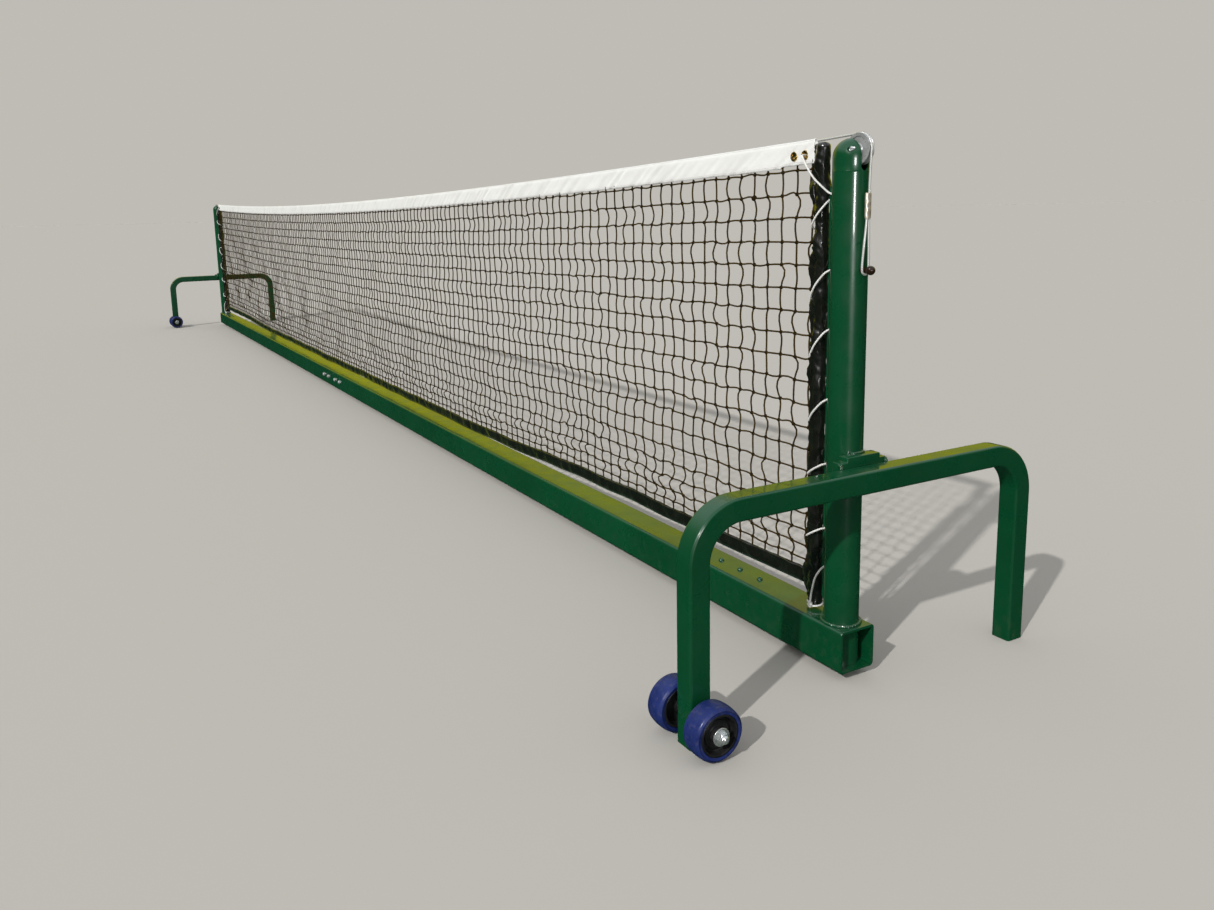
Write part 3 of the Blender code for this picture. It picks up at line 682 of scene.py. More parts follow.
def build_post(end, side):
    """Round post with a domed head, slotted on the outer side."""
    arc = [math.radians(90 * i / 12) for i in range(12)]

    def wall(radius):
        dome = [(radius * math.cos(a), DOME_Z + radius * math.sin(a)) for a in arc]
        stops = [(radius, post_low.z + (SEAM_Z - 0.002 - post_low.z) * i / 8) for i in range(9)]
        seam = [(radius - depth, SEAM_Z + rise) for rise, depth in SEAM]
        return stops + seam + [(radius, (SEAM_Z + DOME_Z) / 2)] + dome

    outer, inner = wall(POST_R), wall(POST_R - POST_WALL)
    profile = outer + [(0.0003, POST_TOP), (0.0003, POST_TOP - POST_WALL)] + list(reversed(inner))
    skin = Skin()
    base = at(side, 0, 0, 0)
    rings = []
    for angle in turns(96):
        out = Vector((math.cos(angle), math.sin(angle), 0))
        rings.append([base + out * r + Vector((0, 0, z)) for r, z in profile])
    skin.strip(rings, joined=True)
    post = skin.piece(f"post_tube_{end}", "green_paint", nodes=[f"post_{end}"])

    cut(post, [rounded_slot(side, u) for u in (SLOT_BACK, 0.0500)])
    cut(post, [[at(side, SHEAVE_U, v, SHEAVE_Z)
                + Vector((PIN_HOLE_R * math.cos(a), 0, PIN_HOLE_R * math.sin(a))) for a in turns(24)]
               for v in (-0.04, 0.04)])
    apply_modifiers(post)
    post.data.set_sharp_from_angle(angle=math.radians(30))

    reach = POST_R + 0.0018
    foot = [at(side, reach * math.cos(a), reach * math.sin(a), BEAM_TOP + 0.0012) for a in turns(90, True)]
    weld_ring(f"weld_post_{end}", foot, 0.0036)


def rounded_slot(side, u):
    """Outline of the sheave slot: straight sides and a round bottom, open past the dome."""
    half, bottom, top = SLOT_HALF, SLOT_BOTTOM, POST_TOP + 0.01
    ring = [at(side, u, half, top), at(side, u, -half, top)]
    for k in range(13):
        angle = math.radians(180 + 180 * k / 12)
        ring.append(at(side, u, half * math.cos(angle), bottom + half + half * math.sin(angle)))
    return ring


def cut(target, rings):
    """Take a lofted shape out of the target."""
    bm = bmesh.new()
    loops = [[bm.verts.new(point) for point in ring] for ring in rings]
    count = len(loops[0])
    for k in range(count):
        m = (k + 1) % count
        bm.faces.new((loops[0][k], loops[0][m], loops[1][m], loops[1][k]))
    for loop in loops:
        bm.faces.new(loop)
    bmesh.ops.recalc_face_normals(bm, faces=bm.faces)
    mesh = bpy.data.meshes.new("cutting_shape")
    bm.to_mesh(mesh)
    bm.free()
    tool = bpy.data.objects.new("cutting_shape", mesh)
    bpy.context.collection.objects.link(tool)
    modifier = target.modifiers.new("cut", "BOOLEAN")
    modifier.operation = "DIFFERENCE"
    modifier.solver = "EXACT"
    modifier.object = tool
    apply_modifiers(target)
    bpy.data.objects.remove(tool, do_unlink=True)


def apply_modifiers(thing):
    """Keep the mesh that the modifiers give, and drop the modifiers."""
    bpy.context.view_layer.update()
    shape = thing.evaluated_get(bpy.context.evaluated_depsgraph_get())
    mesh = bpy.data.meshes.new_from_object(shape)
    thing.modifiers.clear()
    thing.data = mesh


def weld_ring(name, path, radius):
    """Bead with the overlapping scales that a hand weld leaves."""
    path = [Vector(point) for point in path]
    length = sum((b - a).length for a, b in zip(path, path[1:]))
    scales = max(2, round(length / 0.0032))
    fine = smooth_path(path, length / (scales * 4))

    def size(share):
        beat = (share * scales) % 1.0
        uneven = 0.10 * noise.noise(Vector((share * 40, 0, 7)))
        return radius * (0.82 + 0.22 * math.sin(math.pi * beat) + uneven)

    skin = Skin()
    skin.tube(fine, size, 10)
    return skin.piece(name, "weld", slot="green_paint", sharp=70)


def build_leg_frame(end, side):
    """Inverted U bent from one square tube."""
    outline, bore = tube_sections(LEG, LEG_CORNER, LEG_WALL)
    leg_v = FRAME_HALF - LEG / 2
    bar_z = FRAME_TOP - LEG / 2
    bend_steps = 20
    path = [(-leg_v, 0.0, 0.0), (-leg_v, 0.10, 0.0), (-leg_v, 0.20, 0.0)]
    for corner, centre_v in enumerate((-leg_v + BEND_R, leg_v - BEND_R)):
        for i in range(bend_steps + 1):
            turn = math.radians(90 * corner + 90 * i / bend_steps)
            path.append((centre_v - BEND_R * math.cos(turn), bar_z - BEND_R + BEND_R * math.sin(turn), turn))
        if corner == 0:
            path += [(v, bar_z, math.pi / 2) for v in (-0.15, 0.0, 0.15)]
    path += [(leg_v, 0.20, math.pi), (leg_v, 0.10, math.pi), (leg_v, 0.0, math.pi)]

    def section_at(v, z, turn):
        ahead = Vector((0, math.sin(turn), math.cos(turn)))

        def place(section, shift):
            return [at(side, FRAME_U + a, v - b * math.cos(turn), z + b * math.sin(turn)) + ahead * shift
                    for a, b in section]
        return place

    skin = Skin()
    skin.strip(square_tube_rings(outline, bore, [section_at(*stop) for stop in path]), joined=True)
    skin.piece(f"leg_tube_{end}", "green_paint", nodes=[f"leg_frame_{end}"], weighted=True)


def build_saddle(end, side):
    """Stepped block between post and crossbar, with its welds."""
    low, high = saddle_low.z, saddle_high.z
    inner_v, outer_v, step = 0.036, 0.050, high - 0.0085
    outline = [(-outer_v, low), (outer_v, low), (outer_v, step), (inner_v, step),
               (inner_v, high), (-inner_v, high), (-inner_v, step), (-outer_v, step)]
    skin = Skin()
    skin.strip([[at(side, u, v, z) for v, z in outline] for u in SADDLE_U])
    saddle = skin.piece(f"saddle_block_{end}", "green_paint", nodes=[f"frame_saddle_{end}"])
    fit = POST_R + 0.0004
    cut(saddle, [[at(side, fit * math.cos(a), fit * math.sin(a), z) for a in turns(64)]
                 for z in (0.30, 0.45)])
    bevel = saddle.modifiers.new("worn_edges", "BEVEL")
    bevel.width = 0.0012
    bevel.segments = 2
    bevel.limit_method = "ANGLE"
    bevel.angle_limit = math.radians(50)
    apply_modifiers(saddle)
    saddle.data.set_sharp_from_angle(angle=math.radians(60))

    reach = POST_R + 0.0016
    span = [math.radians(a) for a in range(-64, 65, 4)]
    front = [at(side, max(reach * math.cos(a), 0.0262), reach * math.sin(a), high + 0.0008)
             for a in span if abs(a) < math.radians(32)]
    weld_ring(f"weld_saddle_{end}", front, 0.0030)
    for i, v in enumerate((-1, 1)):
        edge = v * (POST_R * math.sin(math.acos(min(1.0, SADDLE_U[0] / POST_R))) + 0.0015)
        cheek = [at(side, SADDLE_U[0] + 0.0008, edge, z)
                 for z in (low + 0.004, low + 0.016, low + 0.030, step)]
        weld_ring(f"weld_cheek_{end}{i + 1}", cheek, 0.0028)
        weld_ring(f"weld_foot_{end}{i + 1}",
                  [at(side, u, v * (outer_v - 0.0006), FRAME_TOP + rise)
                   for u, rise in ((0.0445, -0.004), (0.0448, 0.0006), (0.0425, 0.0036), (0.0385, 0.0046))],
                  0.0036)
        back = SADDLE_U[1] - 0.0008
        weld_ring(f"weld_bar_{end}{i + 1}",
                  [at(side, back, v * (outer_v + 0.001), z) for z in (low + 0.003, low + 0.012, low + 0.024)],
                  0.0026)


def build_lacing_rod(end, side):
    """Painted rod down the court side of the post, turned in at both ends and stayed in the middle."""
    top, middle, bottom = 0.837, 0.448, 0.116
    start = -(POST_R - 0.0006)
    bend = 0.008
    path = [at(side, start, 0, bottom)]
    for corner, z in ((0, bottom), (1, top)):
        for i in range(9):
            turn = math.radians(90 * i / 8)
            if corner == 0:
                u = ROD_U + bend - bend * math.sin(turn)
                path.append(at(side, u, 0, z + bend - bend * math.cos(turn)))
            else:
                u = ROD_U + bend - bend * math.cos(turn)
                path.append(at(side, u, 0, z - bend + bend * math.sin(turn)))
    path.append(at(side, start, 0, top))
    skin = Skin()
    skin.tube(path, ROD_R, 20)
    skin.tube([at(side, start, 0, middle), at(side, ROD_U, 0, middle)], ROD_R * 0.9, 16)
    skin.piece(f"rod_bar_{end}", "green_paint", nodes=[f"lacing_rod_{end}"])
    for i, z in enumerate((top, middle, bottom)):
        ring = [at(side, -(POST_R + 0.0004), 0, z) + Vector((0, 0.0036 * math.cos(a), 0.0036 * math.sin(a)))
                for a in turns(24, True)]
        weld_ring(f"weld_rod_{end}{i + 1}", ring, 0.0014)


# ---------------------------------------------------------------------------
# Wheels
# ---------------------------------------------------------------------------

def round_over(points, steps=5):
    """Profile whose three-item points (radius, distance, round) are corners rounded by that size."""
    out = []
    for i, point in enumerate(points):
        if len(point) == 2:
            out.append(point)
            continue
        here = Vector(point[:2])
        before = (Vector(points[i - 1][:2]) - here).normalized() * point[2]
        after = (Vector(points[(i + 1) % len(points)][:2]) - here).normalized() * point[2]
        for k in range(steps + 1):
            t = k / steps
            spot = here + before * (1 - t) ** 2 + after * t ** 2
            out.append((spot.x, spot.y))
    return out


def build_wheels(end, side):
    """Two tyred wheels with washers on one bolt, held by a cap nut."""
    for place, sign in (("outer", 1), ("inner", -1)):
        axis = Vector((side * sign, 0, 0))
        centre = at(side, FRAME_U + sign * WHEEL_OFFSET, WHEEL_V, WHEEL_Z)
        body = f"wheel_{end}_{place}"
        half = TYRE_HALF
        crown = []
        for i in range(25):
            share = 2 * i / 24 - 1
            a = share * (half - 0.0034)
            r = WHEEL_R - 0.0016 * abs(share) ** 2.4
            if abs(abs(share) - 0.5) < 0.05:
                r -= 0.0006
            crown.append((r, a))
        profile = round_over([(TYRE_BORE, -half + 0.0012, 0.0005), (WHEEL_R - 0.0038, -half, 0.0020)]) + crown
        profile += round_over([(WHEEL_R - 0.0038, half, 0.0020), (TYRE_BORE, half - 0.0012, 0.0005)])
        skin = Skin()
        skin.lathe(profile, centre, axis, 96)
        skin.piece(f"tread_{end}_{place}", "blue_tread", body, [f"tyre_{end}_{place}"], sharp=50)

        rim, face = 0.0326, half - 0.0010
        boss, foot = half + 0.0002, -(half + 0.0094)
        skin = Skin()
        skin.lathe(round_over([
            (0.0052, foot), (0.0052, boss), (0.0118, boss, 0.0008), (0.0132, half - 0.0094, 0.0014),
            (0.0188, half - 0.0100, 0.0006), (0.0196, half - 0.0086, 0.0005), (0.0212, half - 0.0086, 0.0005),
            (0.0220, half - 0.0110, 0.0006), (0.0276, half - 0.0124, 0.0018), (0.0294, face, 0.0004),
            (rim, face, 0.0008), (rim, -face, 0.0008), (0.0297, -face, 0.0004),
            (0.0280, 0.0124 - half, 0.0020), (0.0108, 0.0110 - half, 0.0016), (0.0096, foot, 0.0006)]),
            centre, axis, 96)
        skin.piece(f"wheel_core_{end}_{place}", "black_plastic", body, [f"hub_{end}_{place}"],
                   sharp=50)

        skin = Skin()
        near, far = half + 0.0006, half + 0.0028
        skin.lathe(round_over([(0.0054, near), (0.0142, near, 0.0004), (0.0142, far, 0.0009), (0.0054, far)]),
                   centre, axis, 64)
        skin.piece(f"washer_{end}_{place}", "chrome", nodes=[f"axle_washer_{end}_{place}"])

    centre = at(side, FRAME_U, WHEEL_V, WHEEL_Z)
    axis = Vector((side, 0, 0))
    seat = WHEEL_OFFSET + TYRE_HALF + 0.0031
    skin = Skin()
    hex_head(skin, centre, -axis, seat, 0.0062, 0.0090)
    shank = [(0, -seat - 0.001), (0.0048, -seat - 0.001), (0.0048, seat + 0.004), (0, seat + 0.004)]
    skin.lathe(shank, centre, axis, 32)
    skin.piece(f"axle_bolt_{end}", "chrome", nodes=[f"wheel_axle_{end}"])
    skin = Skin()
    hex_head(skin, centre, axis, seat, 0.0068, 0.0098)
    quarter = [math.radians(90 * i / 10) for i in range(10)]
    cap = [(0.0072 * math.cos(a), seat + 0.0064 + 0.0064 * math.sin(a)) for a in quarter]
    skin.lathe([(0, seat + 0.0060), (0.0072, seat + 0.0060)] + cap + [(0, seat + 0.0128)], centre, axis, 32)
    skin.piece(f"cap_nut_{end}", "chrome", nodes=[f"axle_nut_{end}"])


# ---------------------------------------------------------------------------
# Sheave, cable and peg
# ---------------------------------------------------------------------------

def build_sheave(end, side):
    """Grooved sheave, and its pin sunk in the post's hole."""
    centre = at(side, SHEAVE_U, 0, SHEAVE_Z)
    floor = SHEAVE_R - 0.0035
    groove = [(SHEAVE_R - 0.0003, -0.0058), (SHEAVE_R, -0.0052), (SHEAVE_R, -0.0046)]
    for i in range(9):
        angle = math.radians(-72 + 144 * i / 8)
        groove.append((floor + 0.0026 - 0.0026 * math.cos(angle), 0.0026 * math.sin(angle)))
    groove += [(SHEAVE_R, 0.0046), (SHEAVE_R, 0.0052), (SHEAVE_R - 0.0003, 0.0058)]
    face = [(0.0200, 0.0058), (0.0188, 0.0042), (0.0090, 0.0042), (0.0080, 0.0060), (0.00435, 0.0060)]
    skin = Skin()
    skin.lathe([(r, -a) for r, a in reversed(face)] + groove + face, centre, (0, 1, 0), 96)
    skin.piece(f"pulley_wheel_{end}", "zinc", f"pulley_{end}", [f"sheave_{end}"])

    reach = 0.0200
    skin = Skin()
    skin.lathe([(0, -reach + 0.003), (0.0022, -reach + 0.003), (0.0026, -reach), (0.0034, -reach - 0.0007),
                (0.0041, -reach), (0.0041, reach), (0.0034, reach + 0.0007), (0.0026, reach),
                (0.0022, reach - 0.003), (0, reach - 0.003)], centre, (0, 1, 0), 32)
    skin.piece(f"pulley_pin_{end}", "chrome", nodes=[f"sheave_axle_{end}"])


def cable_end(side):
    """Route of the cable from the headband's end over the sheave to the eye on the peg."""
    route = [(-0.087, 0.0, 0.9102)]
    for i in range(9):
        angle = math.radians(93 - 96 * i / 8)
        route.append((SHEAVE_U + CABLE_TURN_R * math.cos(angle), 0.0,
                      SHEAVE_Z + CABLE_TURN_R * math.sin(angle)))
    bottom, top = ferrule_low.z, ferrule_high.z
    strand = 0.0022
    route += [(FERRULE_U + 0.0010, strand * 0.6, top + 0.016), (FERRULE_U, strand, top + 0.002),
              (FERRULE_U, strand, bottom - 0.002)]
    eye = 0.0068
    route += [(EYE_U + 0.0012, eye * 0.75, PEG_Z + 0.040), (EYE_U, eye, PEG_Z + 0.010)]
    for i in range(7):
        angle = math.radians(-180 * i / 6)
        route.append((EYE_U, eye * math.cos(angle), PEG_Z + eye * math.sin(angle)))
    route += [(EYE_U, -eye, PEG_Z + 0.010), (EYE_U + 0.0012, -eye * 0.75, PEG_Z + 0.040),
              (FERRULE_U, -strand, bottom - 0.002), (FERRULE_U, -strand, top - 0.003)]
    return [at(side, u, v, z) for u, v, z in route]


def build_cable():
    """Laid wire from peg to peg; inside the headband it only needs to follow the sag."""
    reach = HALF_SPAN - 0.084
    stops = [reach * (2 * i / 14 - 1) for i in range(1, 14)]
    inside = [Vector((x, NET_Y, band_top(x) - 0.0038)) for x in stops]
    skin = Skin()
    for points in (list(reversed(cable_end(-1))), cable_end(1)):
        skin.tube(smooth_path(points, 0.0012), CABLE_R, 12, lobes=6, lay=0.022, depth=0.10)
    skin.tube(smooth_path([cable_end(-1)[0]] + inside + [cable_end(1)[0]], 0.02), CABLE_R, 12)
    skin.piece("wire_rope", "wire", nodes=["net_cable"], sharp=80)


def build_fittings(end, side):
    """Crimped ferrule and ball-ended peg."""
    low, high = ferrule_low.z, ferrule_high.z
    rings = []
    steps = 28
    for i in range(steps + 1):
        share = i / steps
        pinch = 0.0007 * (0.5 - 0.5 * math.cos(2 * math.pi * 3 * share))
        lip = 0.0005 * (1 - min(1.0, 12 * min(share, 1 - share)))
        rings.append([at(side, FERRULE_U + (0.0038 - pinch - lip) * math.cos(a),
                         (0.0060 - lip + 0.4 * pinch) * math.sin(a) * (0.9 + 0.1 * abs(math.sin(a))),
                         low + (high - low) * share) for a in turns(24)])
    skin = Skin()
    skin.strip(rings)
    skin.piece(f"crimp_{end}", "copper", nodes=[f"cable_ferrule_{end}"], sharp=60)

    start, ball_u, ball_r = POST_R - 0.0004, 0.0478, 0.0075
    round_part = [math.radians(34 + (180 - 34) * i / 14) for i in range(14)]
    ball = [(ball_r * math.sin(a), ball_u - ball_r * math.cos(a)) for a in round_part]
    flange = [(0, start), (0.0062, start), (0.0062, start + 0.0012), (0.0040, start + 0.0018)]
    skin = Skin()
    skin.lathe(flange + ball + [(0, ball_u + ball_r)], at(side, 0, 0, PEG_Z), (side, 0, 0), 40)
    skin.piece(f"knob_{end}", "peg_black", nodes=[f"cable_peg_{end}"], sharp=60)


# ---------------------------------------------------------------------------
# Net
# ---------------------------------------------------------------------------

def build_headband():
    """White binding folded over the cable: creased cloth, a stepped end tab and a hem."""
    across = 20
    count = 1500
    rings = []
    for i in range(count + 1):
        x = BAND_REACH * (2 * i / count - 1)
        inward = BAND_REACH - abs(x)
        rise = 0.0034 if inward < 0.086 else 0.0
        top = band_top(x)
        ring = []
        for k in range(across + 1):
            share = k / across
            front = share <= 0.5
            down = abs(share - 0.5) * 2
            sign = -1 if front else 1
            z = top - 0.0014 - (BAND_HEIGHT - rise - 0.0014) * down ** 1.15
            if down < 0.12:
                z = top - 0.0026 * (down / 0.12) ** 2
            out = 0.0028 * math.sin(min(1.0, down / 0.14) * math.pi / 2) - 0.0011 * min(1.0, down / 0.6)
            slant = x * 0.82 + sign * z * 1.3
            crease = ripple((slant, z * 0.12, sign * 0.4), 0.016, 1.0)
            calm = 0.45 + 0.55 * abs(ripple((x, sign, 3.0), 0.22, 1.4))
            crease = (0.0048 * crease + 0.0080 * max(0.0, 0.22 - abs(crease))) * calm * min(1.0, 4 * down)
            hem = 0.0005 * math.exp(-((BAND_HEIGHT * (1 - down) - 0.0045) / 0.0011) ** 2)
            z += ripple((x, 0.5, sign), 0.06, 0.0008) * down
            ring.append(Vector((x, NET_Y + sign * (out + 0.0006 + crease - hem), z)))
        rings.append(ring)
    skin = Skin()
    skin.strip(rings, closed=False, caps=False, width=2 * BAND_HEIGHT)
    band = skin.piece("headband_cloth", "white_vinyl", nodes=["headband"], sharp=180,
                      turn_out=False)
    thicken(band, CLOTH)
    apply_modifiers(band)
    for end, side in ENDS:
        for u in GROMMET_U:
            drop = band_top(HALF_SPAN + u) - GROMMET_DROP
            hole = 0.0058
            cut(band, [[at(side, u + hole * math.cos(a), v, drop + hole * math.sin(a)) for a in turns(24)]
                       for v in (-0.02, 0.02)])

    for end, side in ENDS:
        for i, u in enumerate(GROMMET_U):
            centre = at(side, u, 0, band_top(HALF_SPAN + u) - GROMMET_DROP)
            lip = 0.0034
            half = [(0.0048, 0.0), (0.0048, lip), (0.0053, lip + 0.0009), (0.0064, lip + 0.0012),
                    (0.0078, lip + 0.0007), (0.0084, lip - 0.0004)]
            skin = Skin()
            skin.lathe([(r, -a) for r, a in reversed(half)] + half[1:], centre, (0, 1, 0), 48)
            skin.piece(f"eyelet_{end}{i + 1}", "brass", nodes=[f"grommet_{end}{i + 1}"])
        stub_rings = [[at(side, u, v, z) for u, v, z in (
            (a, -0.0016, 0.9105 - b), (a, 0.0016, 0.9105 - b), (a, 0.0018, 0.8990), (a, -0.0018, 0.8990))]
            for a, b in ((-0.0860, 0.0), (-0.0815, 0.0004), (-0.0780, 0.0016))]
        skin = Skin()
        skin.strip(stub_rings)
        skin.piece(f"band_lining_{end}", "white_vinyl")


def thicken(sheet, thickness):
    """Give a sheet its thickness, half to each side."""
    modifier = sheet.modifiers.new("thickness", "SOLIDIFY")
    modifier.thickness = thickness
    modifier.offset = 0.0
    modifier.use_even_offset = False


def build_bottom_tape():
    """Black vinyl tape folded over the netting's lower edge."""
    across = 14
    count = 700
    rings = []
    for i in range(count + 1):
        x = TAPE_REACH * (2 * i / count - 1)
        low = tape_bottom(x) + ripple((x, 0, 9), 0.16, 0.0040)
        lean = ripple((x, 5, 0), 0.30, 0.0014)
        ring = []
        for k in range(across + 1):
            share = k / across
            sign = -1 if share <= 0.5 else 1
            up = abs(share - 0.5) * 2
            out = 0.0019 * math.sin(min(1.0, up / 0.2) * math.pi / 2)
            crease = ripple((x * 0.9 + up * 0.012, up * 0.02, sign * 3), 0.020, 0.0034) * min(1.0, 3 * up)
            z = low + TAPE_HEIGHT * up + ripple((x, 2, sign), 0.05, 0.0010) * up
            ring.append(Vector((x, NET_Y + sign * (out + 0.0004 + crease) + lean * (1 - up), z)))
        rings.append(ring)
    skin = Skin()
    skin.strip(rings, closed=False, caps=False, width=2 * TAPE_HEIGHT)
    tape = skin.piece("bottom_tape_cloth", "black_vinyl", nodes=["bottom_tape"], sharp=180,
                      turn_out=False)
    thicken(tape, TAPE_CLOTH)


MESH_SIZE = 0.0385             # spacing aimed at between the upright twines
NET_ROWS = 20
NET_BAYS = 4
TWINE_R = 0.0017
NET_REACH = HALF_SPAN - 0.0905
MENDED = (4, NET_ROWS - 2)     # columns from end a, and the row, of the large knot of a mended mesh


def row_shares():
    """Share of the net's height at each row of knots: the lowest rows lie slack, so they take less."""
    weights = [0.55 + 0.45 * min(1.0, (j / 4.5) ** 1.3) for j in range(NET_ROWS)]
    weights[-1] = 0.28
    shares = [0.0]
    for weight in weights:
        shares.append(shares[-1] + weight / sum(weights))
    return shares


def knot_places(columns):
    """Places of the knots: near square meshes, wavering more towards the slack bottom rows."""
    shares = row_shares()
    rng = random.Random(11)
    places = []
    for i in range(columns + 1):
        x0 = NET_REACH * (2 * i / columns - 1)
        low = tape_bottom(x0) + TAPE_HEIGHT - 0.006
        high = band_top(x0) - BAND_HEIGHT + 0.006
        column = []
        for j, share in enumerate(shares):
            slack = 1 - share
            pinned = min(1.0, 3.0 * min(share, slack) + 0.15)
            edge = min(1.0, (NET_REACH - abs(x0)) / 0.10)
            drift = 0.0022 + 0.0085 * slack ** 3
            x = x0 + ripple((x0, 4.0 * share, 1), 0.11, drift) * pinned * edge
            x += rng.uniform(-0.0012, 0.0012) * edge
            z = low + (high - low) * share
            z += ripple((x0, share, 8), 0.17, 0.0016 + 0.005 * slack ** 3) * min(1.0, 6 * min(share, slack))
            z += rng.uniform(-0.0009, 0.0009) * (1 if 0 < j < NET_ROWS else 0)
            bulge = ripple((x0, share * 1.5, 4), 0.22, 0.0030 + 0.013 * slack ** 2)
            y = bulge * min(1.0, 5 * min(share, slack)) * edge
            column.append(Vector((x, NET_Y + y, z)))
        places.append(column)
    return places


def twine_path(knots, across, slack, rng, steps=4):
    """Smooth way through a run of knots, bowed to one side or the other between each pair."""
    path = []
    for i, (start, end) in enumerate(zip(knots, knots[1:])):
        lean = (rng.uniform(-1, 1) * 0.6 + 0.7 * math.sin(1.9 * i + 0.8)) * slack(i)
        swing = rng.uniform(-0.4, 1.0) * lean
        for k in range(steps):
            t = k / steps
            bend = math.sin(math.pi * t) * lean - math.sin(2 * math.pi * t) * swing * 0.7
            depth = math.sin(math.pi * t) * lean * 0.5
            path.append(start.lerp(end, t) + across * bend + Vector((0, depth, 0)))
    path.append(knots[-1].copy())
    return path


def upright_slack(row):
    """How far an upright twine bows in a row of meshes: hardly where it is sewn in, most near the bottom."""
    if row in (0, NET_ROWS - 1):
        return 0.0006
    return 0.0072 if row < 4 else 0.0050


def add_knot(skin, centre, rng, size=1.0):
    """Small lump of a sheet bend: a slanted, dented ball."""
    lean = Matrix.Rotation(rng.uniform(0.5, 1.1), 3, "Y") @ Matrix.Rotation(rng.uniform(-0.5, 0.5), 3, "Z")
    rings = []
    for height, radius in ((-0.85, 0.45), (-0.35, 0.95), (0.35, 0.95), (0.85, 0.45)):
        ring = []
        for k in range(7):
            angle = 2 * math.pi * k / 7
            dent = 1 + 0.14 * math.cos(3 * angle + 2 * height)
            ring.append(centre + size * (lean @ Vector((0.0036 * radius * dent * math.cos(angle),
                                                        0.0032 * radius * dent * math.sin(angle),
                                                        0.0042 * height))))
        rings.append(ring)
    skin.strip(rings, offset=KNOT_UV)


def build_netting():
    """Knotted twine in bays along the net, each a piece of its own."""
    columns = NET_BAYS * round(2 * NET_REACH / MESH_SIZE / NET_BAYS)
    places = knot_places(columns)
    per_bay = columns // NET_BAYS
    rng = random.Random(23)
    for bay in range(NET_BAYS):
        first = bay * per_bay
        last = first + per_bay
        skin = Skin()
        for i in range(first, last + (bay == NET_BAYS - 1)):
            path = twine_path(places[i], Vector((1, 0, 0)), upright_slack, rng)
            skin.tube(path, TWINE_R, 5)
        for j in range(1, NET_ROWS):
            knots = [places[i][j] for i in range(first, last + 1)]
            skin.tube(twine_path(knots, Vector((0, 0, 1)), lambda i: 0.0024, rng), TWINE_R, 5)
            for i in range(first, last + (bay == NET_BAYS - 1)):
                add_knot(skin, places[i][j], rng, 1.5 if (i, j) == (columns - MENDED[0], MENDED[1]) else 1.0)
        nodes = ["netting"] if bay == 0 else []
        name = f"netting_bay_{bay + 1}"
        net = skin.piece(name, "twine", nodes=nodes, sharp=180, turn_out=False)


def build_side_sleeve(end, side):
    """Vinyl wrapped round the dowel, its two edges laid together as a flap; gathered at the foot."""
    bottom = 0.0985
    levels = 260
    around = 40
    crown = ((0.0030, 0.94), (0.0052, 0.78), (0.0066, 0.55), (0.0072, 0.32), (0.0074, 0.13))
    stops = [(bottom + (SLEEVE_TOP - bottom) * i / levels, 1.0) for i in range(levels + 1)]
    stops += [(SLEEVE_TOP + rise, share) for rise, share in crown]
    rings = []
    for z, closing in stops:
        foot = min(1.0, max(0.0, (z - bottom) / 0.055))
        tip = -0.0895 + ripple((z, 0, side), 0.055, 0.0038)
        tip += 0.0145 * math.exp(-((z - LACING_LEFT_Z[0]) / 0.036) ** 2)
        tip -= 0.0040 * math.exp(-((z - 0.850) / 0.022) ** 2)
        tip -= 0.0080 * math.exp(-((z - 0.152) / 0.022) ** 2)
        tip = max(tip, -0.0985) if z > 0.136 else -0.0985 + (0.136 - z) * 0.62
        ring = []
        for k in range(around + 1):
            share = k / around
            sign = 1 if share < 0.5 else -1
            turn = math.radians(180 - 360 * min(1.0, max(0.0, (share - 0.14) / 0.72)))
            radius = SLEEVE_R * (0.97 - 0.08 * (1 - foot)) * closing
            u, v = SLEEVE_U + radius * math.cos(turn), radius * math.sin(turn)
            out = Vector((math.cos(turn), math.sin(turn), 0))
            flap = max(0.0, (0.14 - share) / 0.14, (share - 0.86) / 0.14)
            if flap > 0:
                u = (SLEEVE_U - radius) * (1 - flap) + (SLEEVE_U + (tip - SLEEVE_U) * closing) * flap
                v = sign * (0.0010 + 0.0016 * (1 - flap)) * (0.6 + 0.4 * closing)
                out = Vector((0, sign, 0))
            fold = ripple((z * 0.8, share * 0.16 + z * 0.25, side * 2.0), 0.040, 1.0)
            crease = ripple((z * 1.3 - share * 0.10, share * 0.08 + z * 0.3, side * 5.0), 0.019, 1.0)
            court = 0.50 + 0.50 * min(1.0, max(0.0, -out.x + 0.6))
            size = (0.0125 * max(-0.08, fold) + 0.0072 * max(0.0, 0.36 - abs(crease)) - 0.0014) * court
            size *= closing ** 2 * min(1.0, (SLEEVE_TOP + 0.008 - z) / 0.03)
            u += out.x * size
            v += out.y * size
            ring.append(at(side, u, v, z))
        rings.append(ring)
    skin = Skin()
    width = 2 * math.pi * SLEEVE_R + 2 * 0.013
    skin.strip(rings, closed=False, caps=False, width=width)
    sleeve = skin.piece(f"sleeve_cloth_{end}", "black_vinyl", nodes=[f"side_sleeve_{end}"],
                        sharp=180, turn_out=False)
    thicken(sleeve, CLOTH)


def build_dowel(end, side):
    """Wooden rod inside the side sleeve."""
    skin = Skin()
    low, high = dowel_low.z, dowel_high.z
    skin.lathe(round_over([(0, low), (DOWEL_R, low, 0.0015), (DOWEL_R, high, 0.0025), (0, high)]),
               at(side, SLEEVE_U, 0, 0), (0, 0, 1), 40)
    skin.piece(f"dowel_rod_{end}", "wood", nodes=[f"dowel_{end}"])


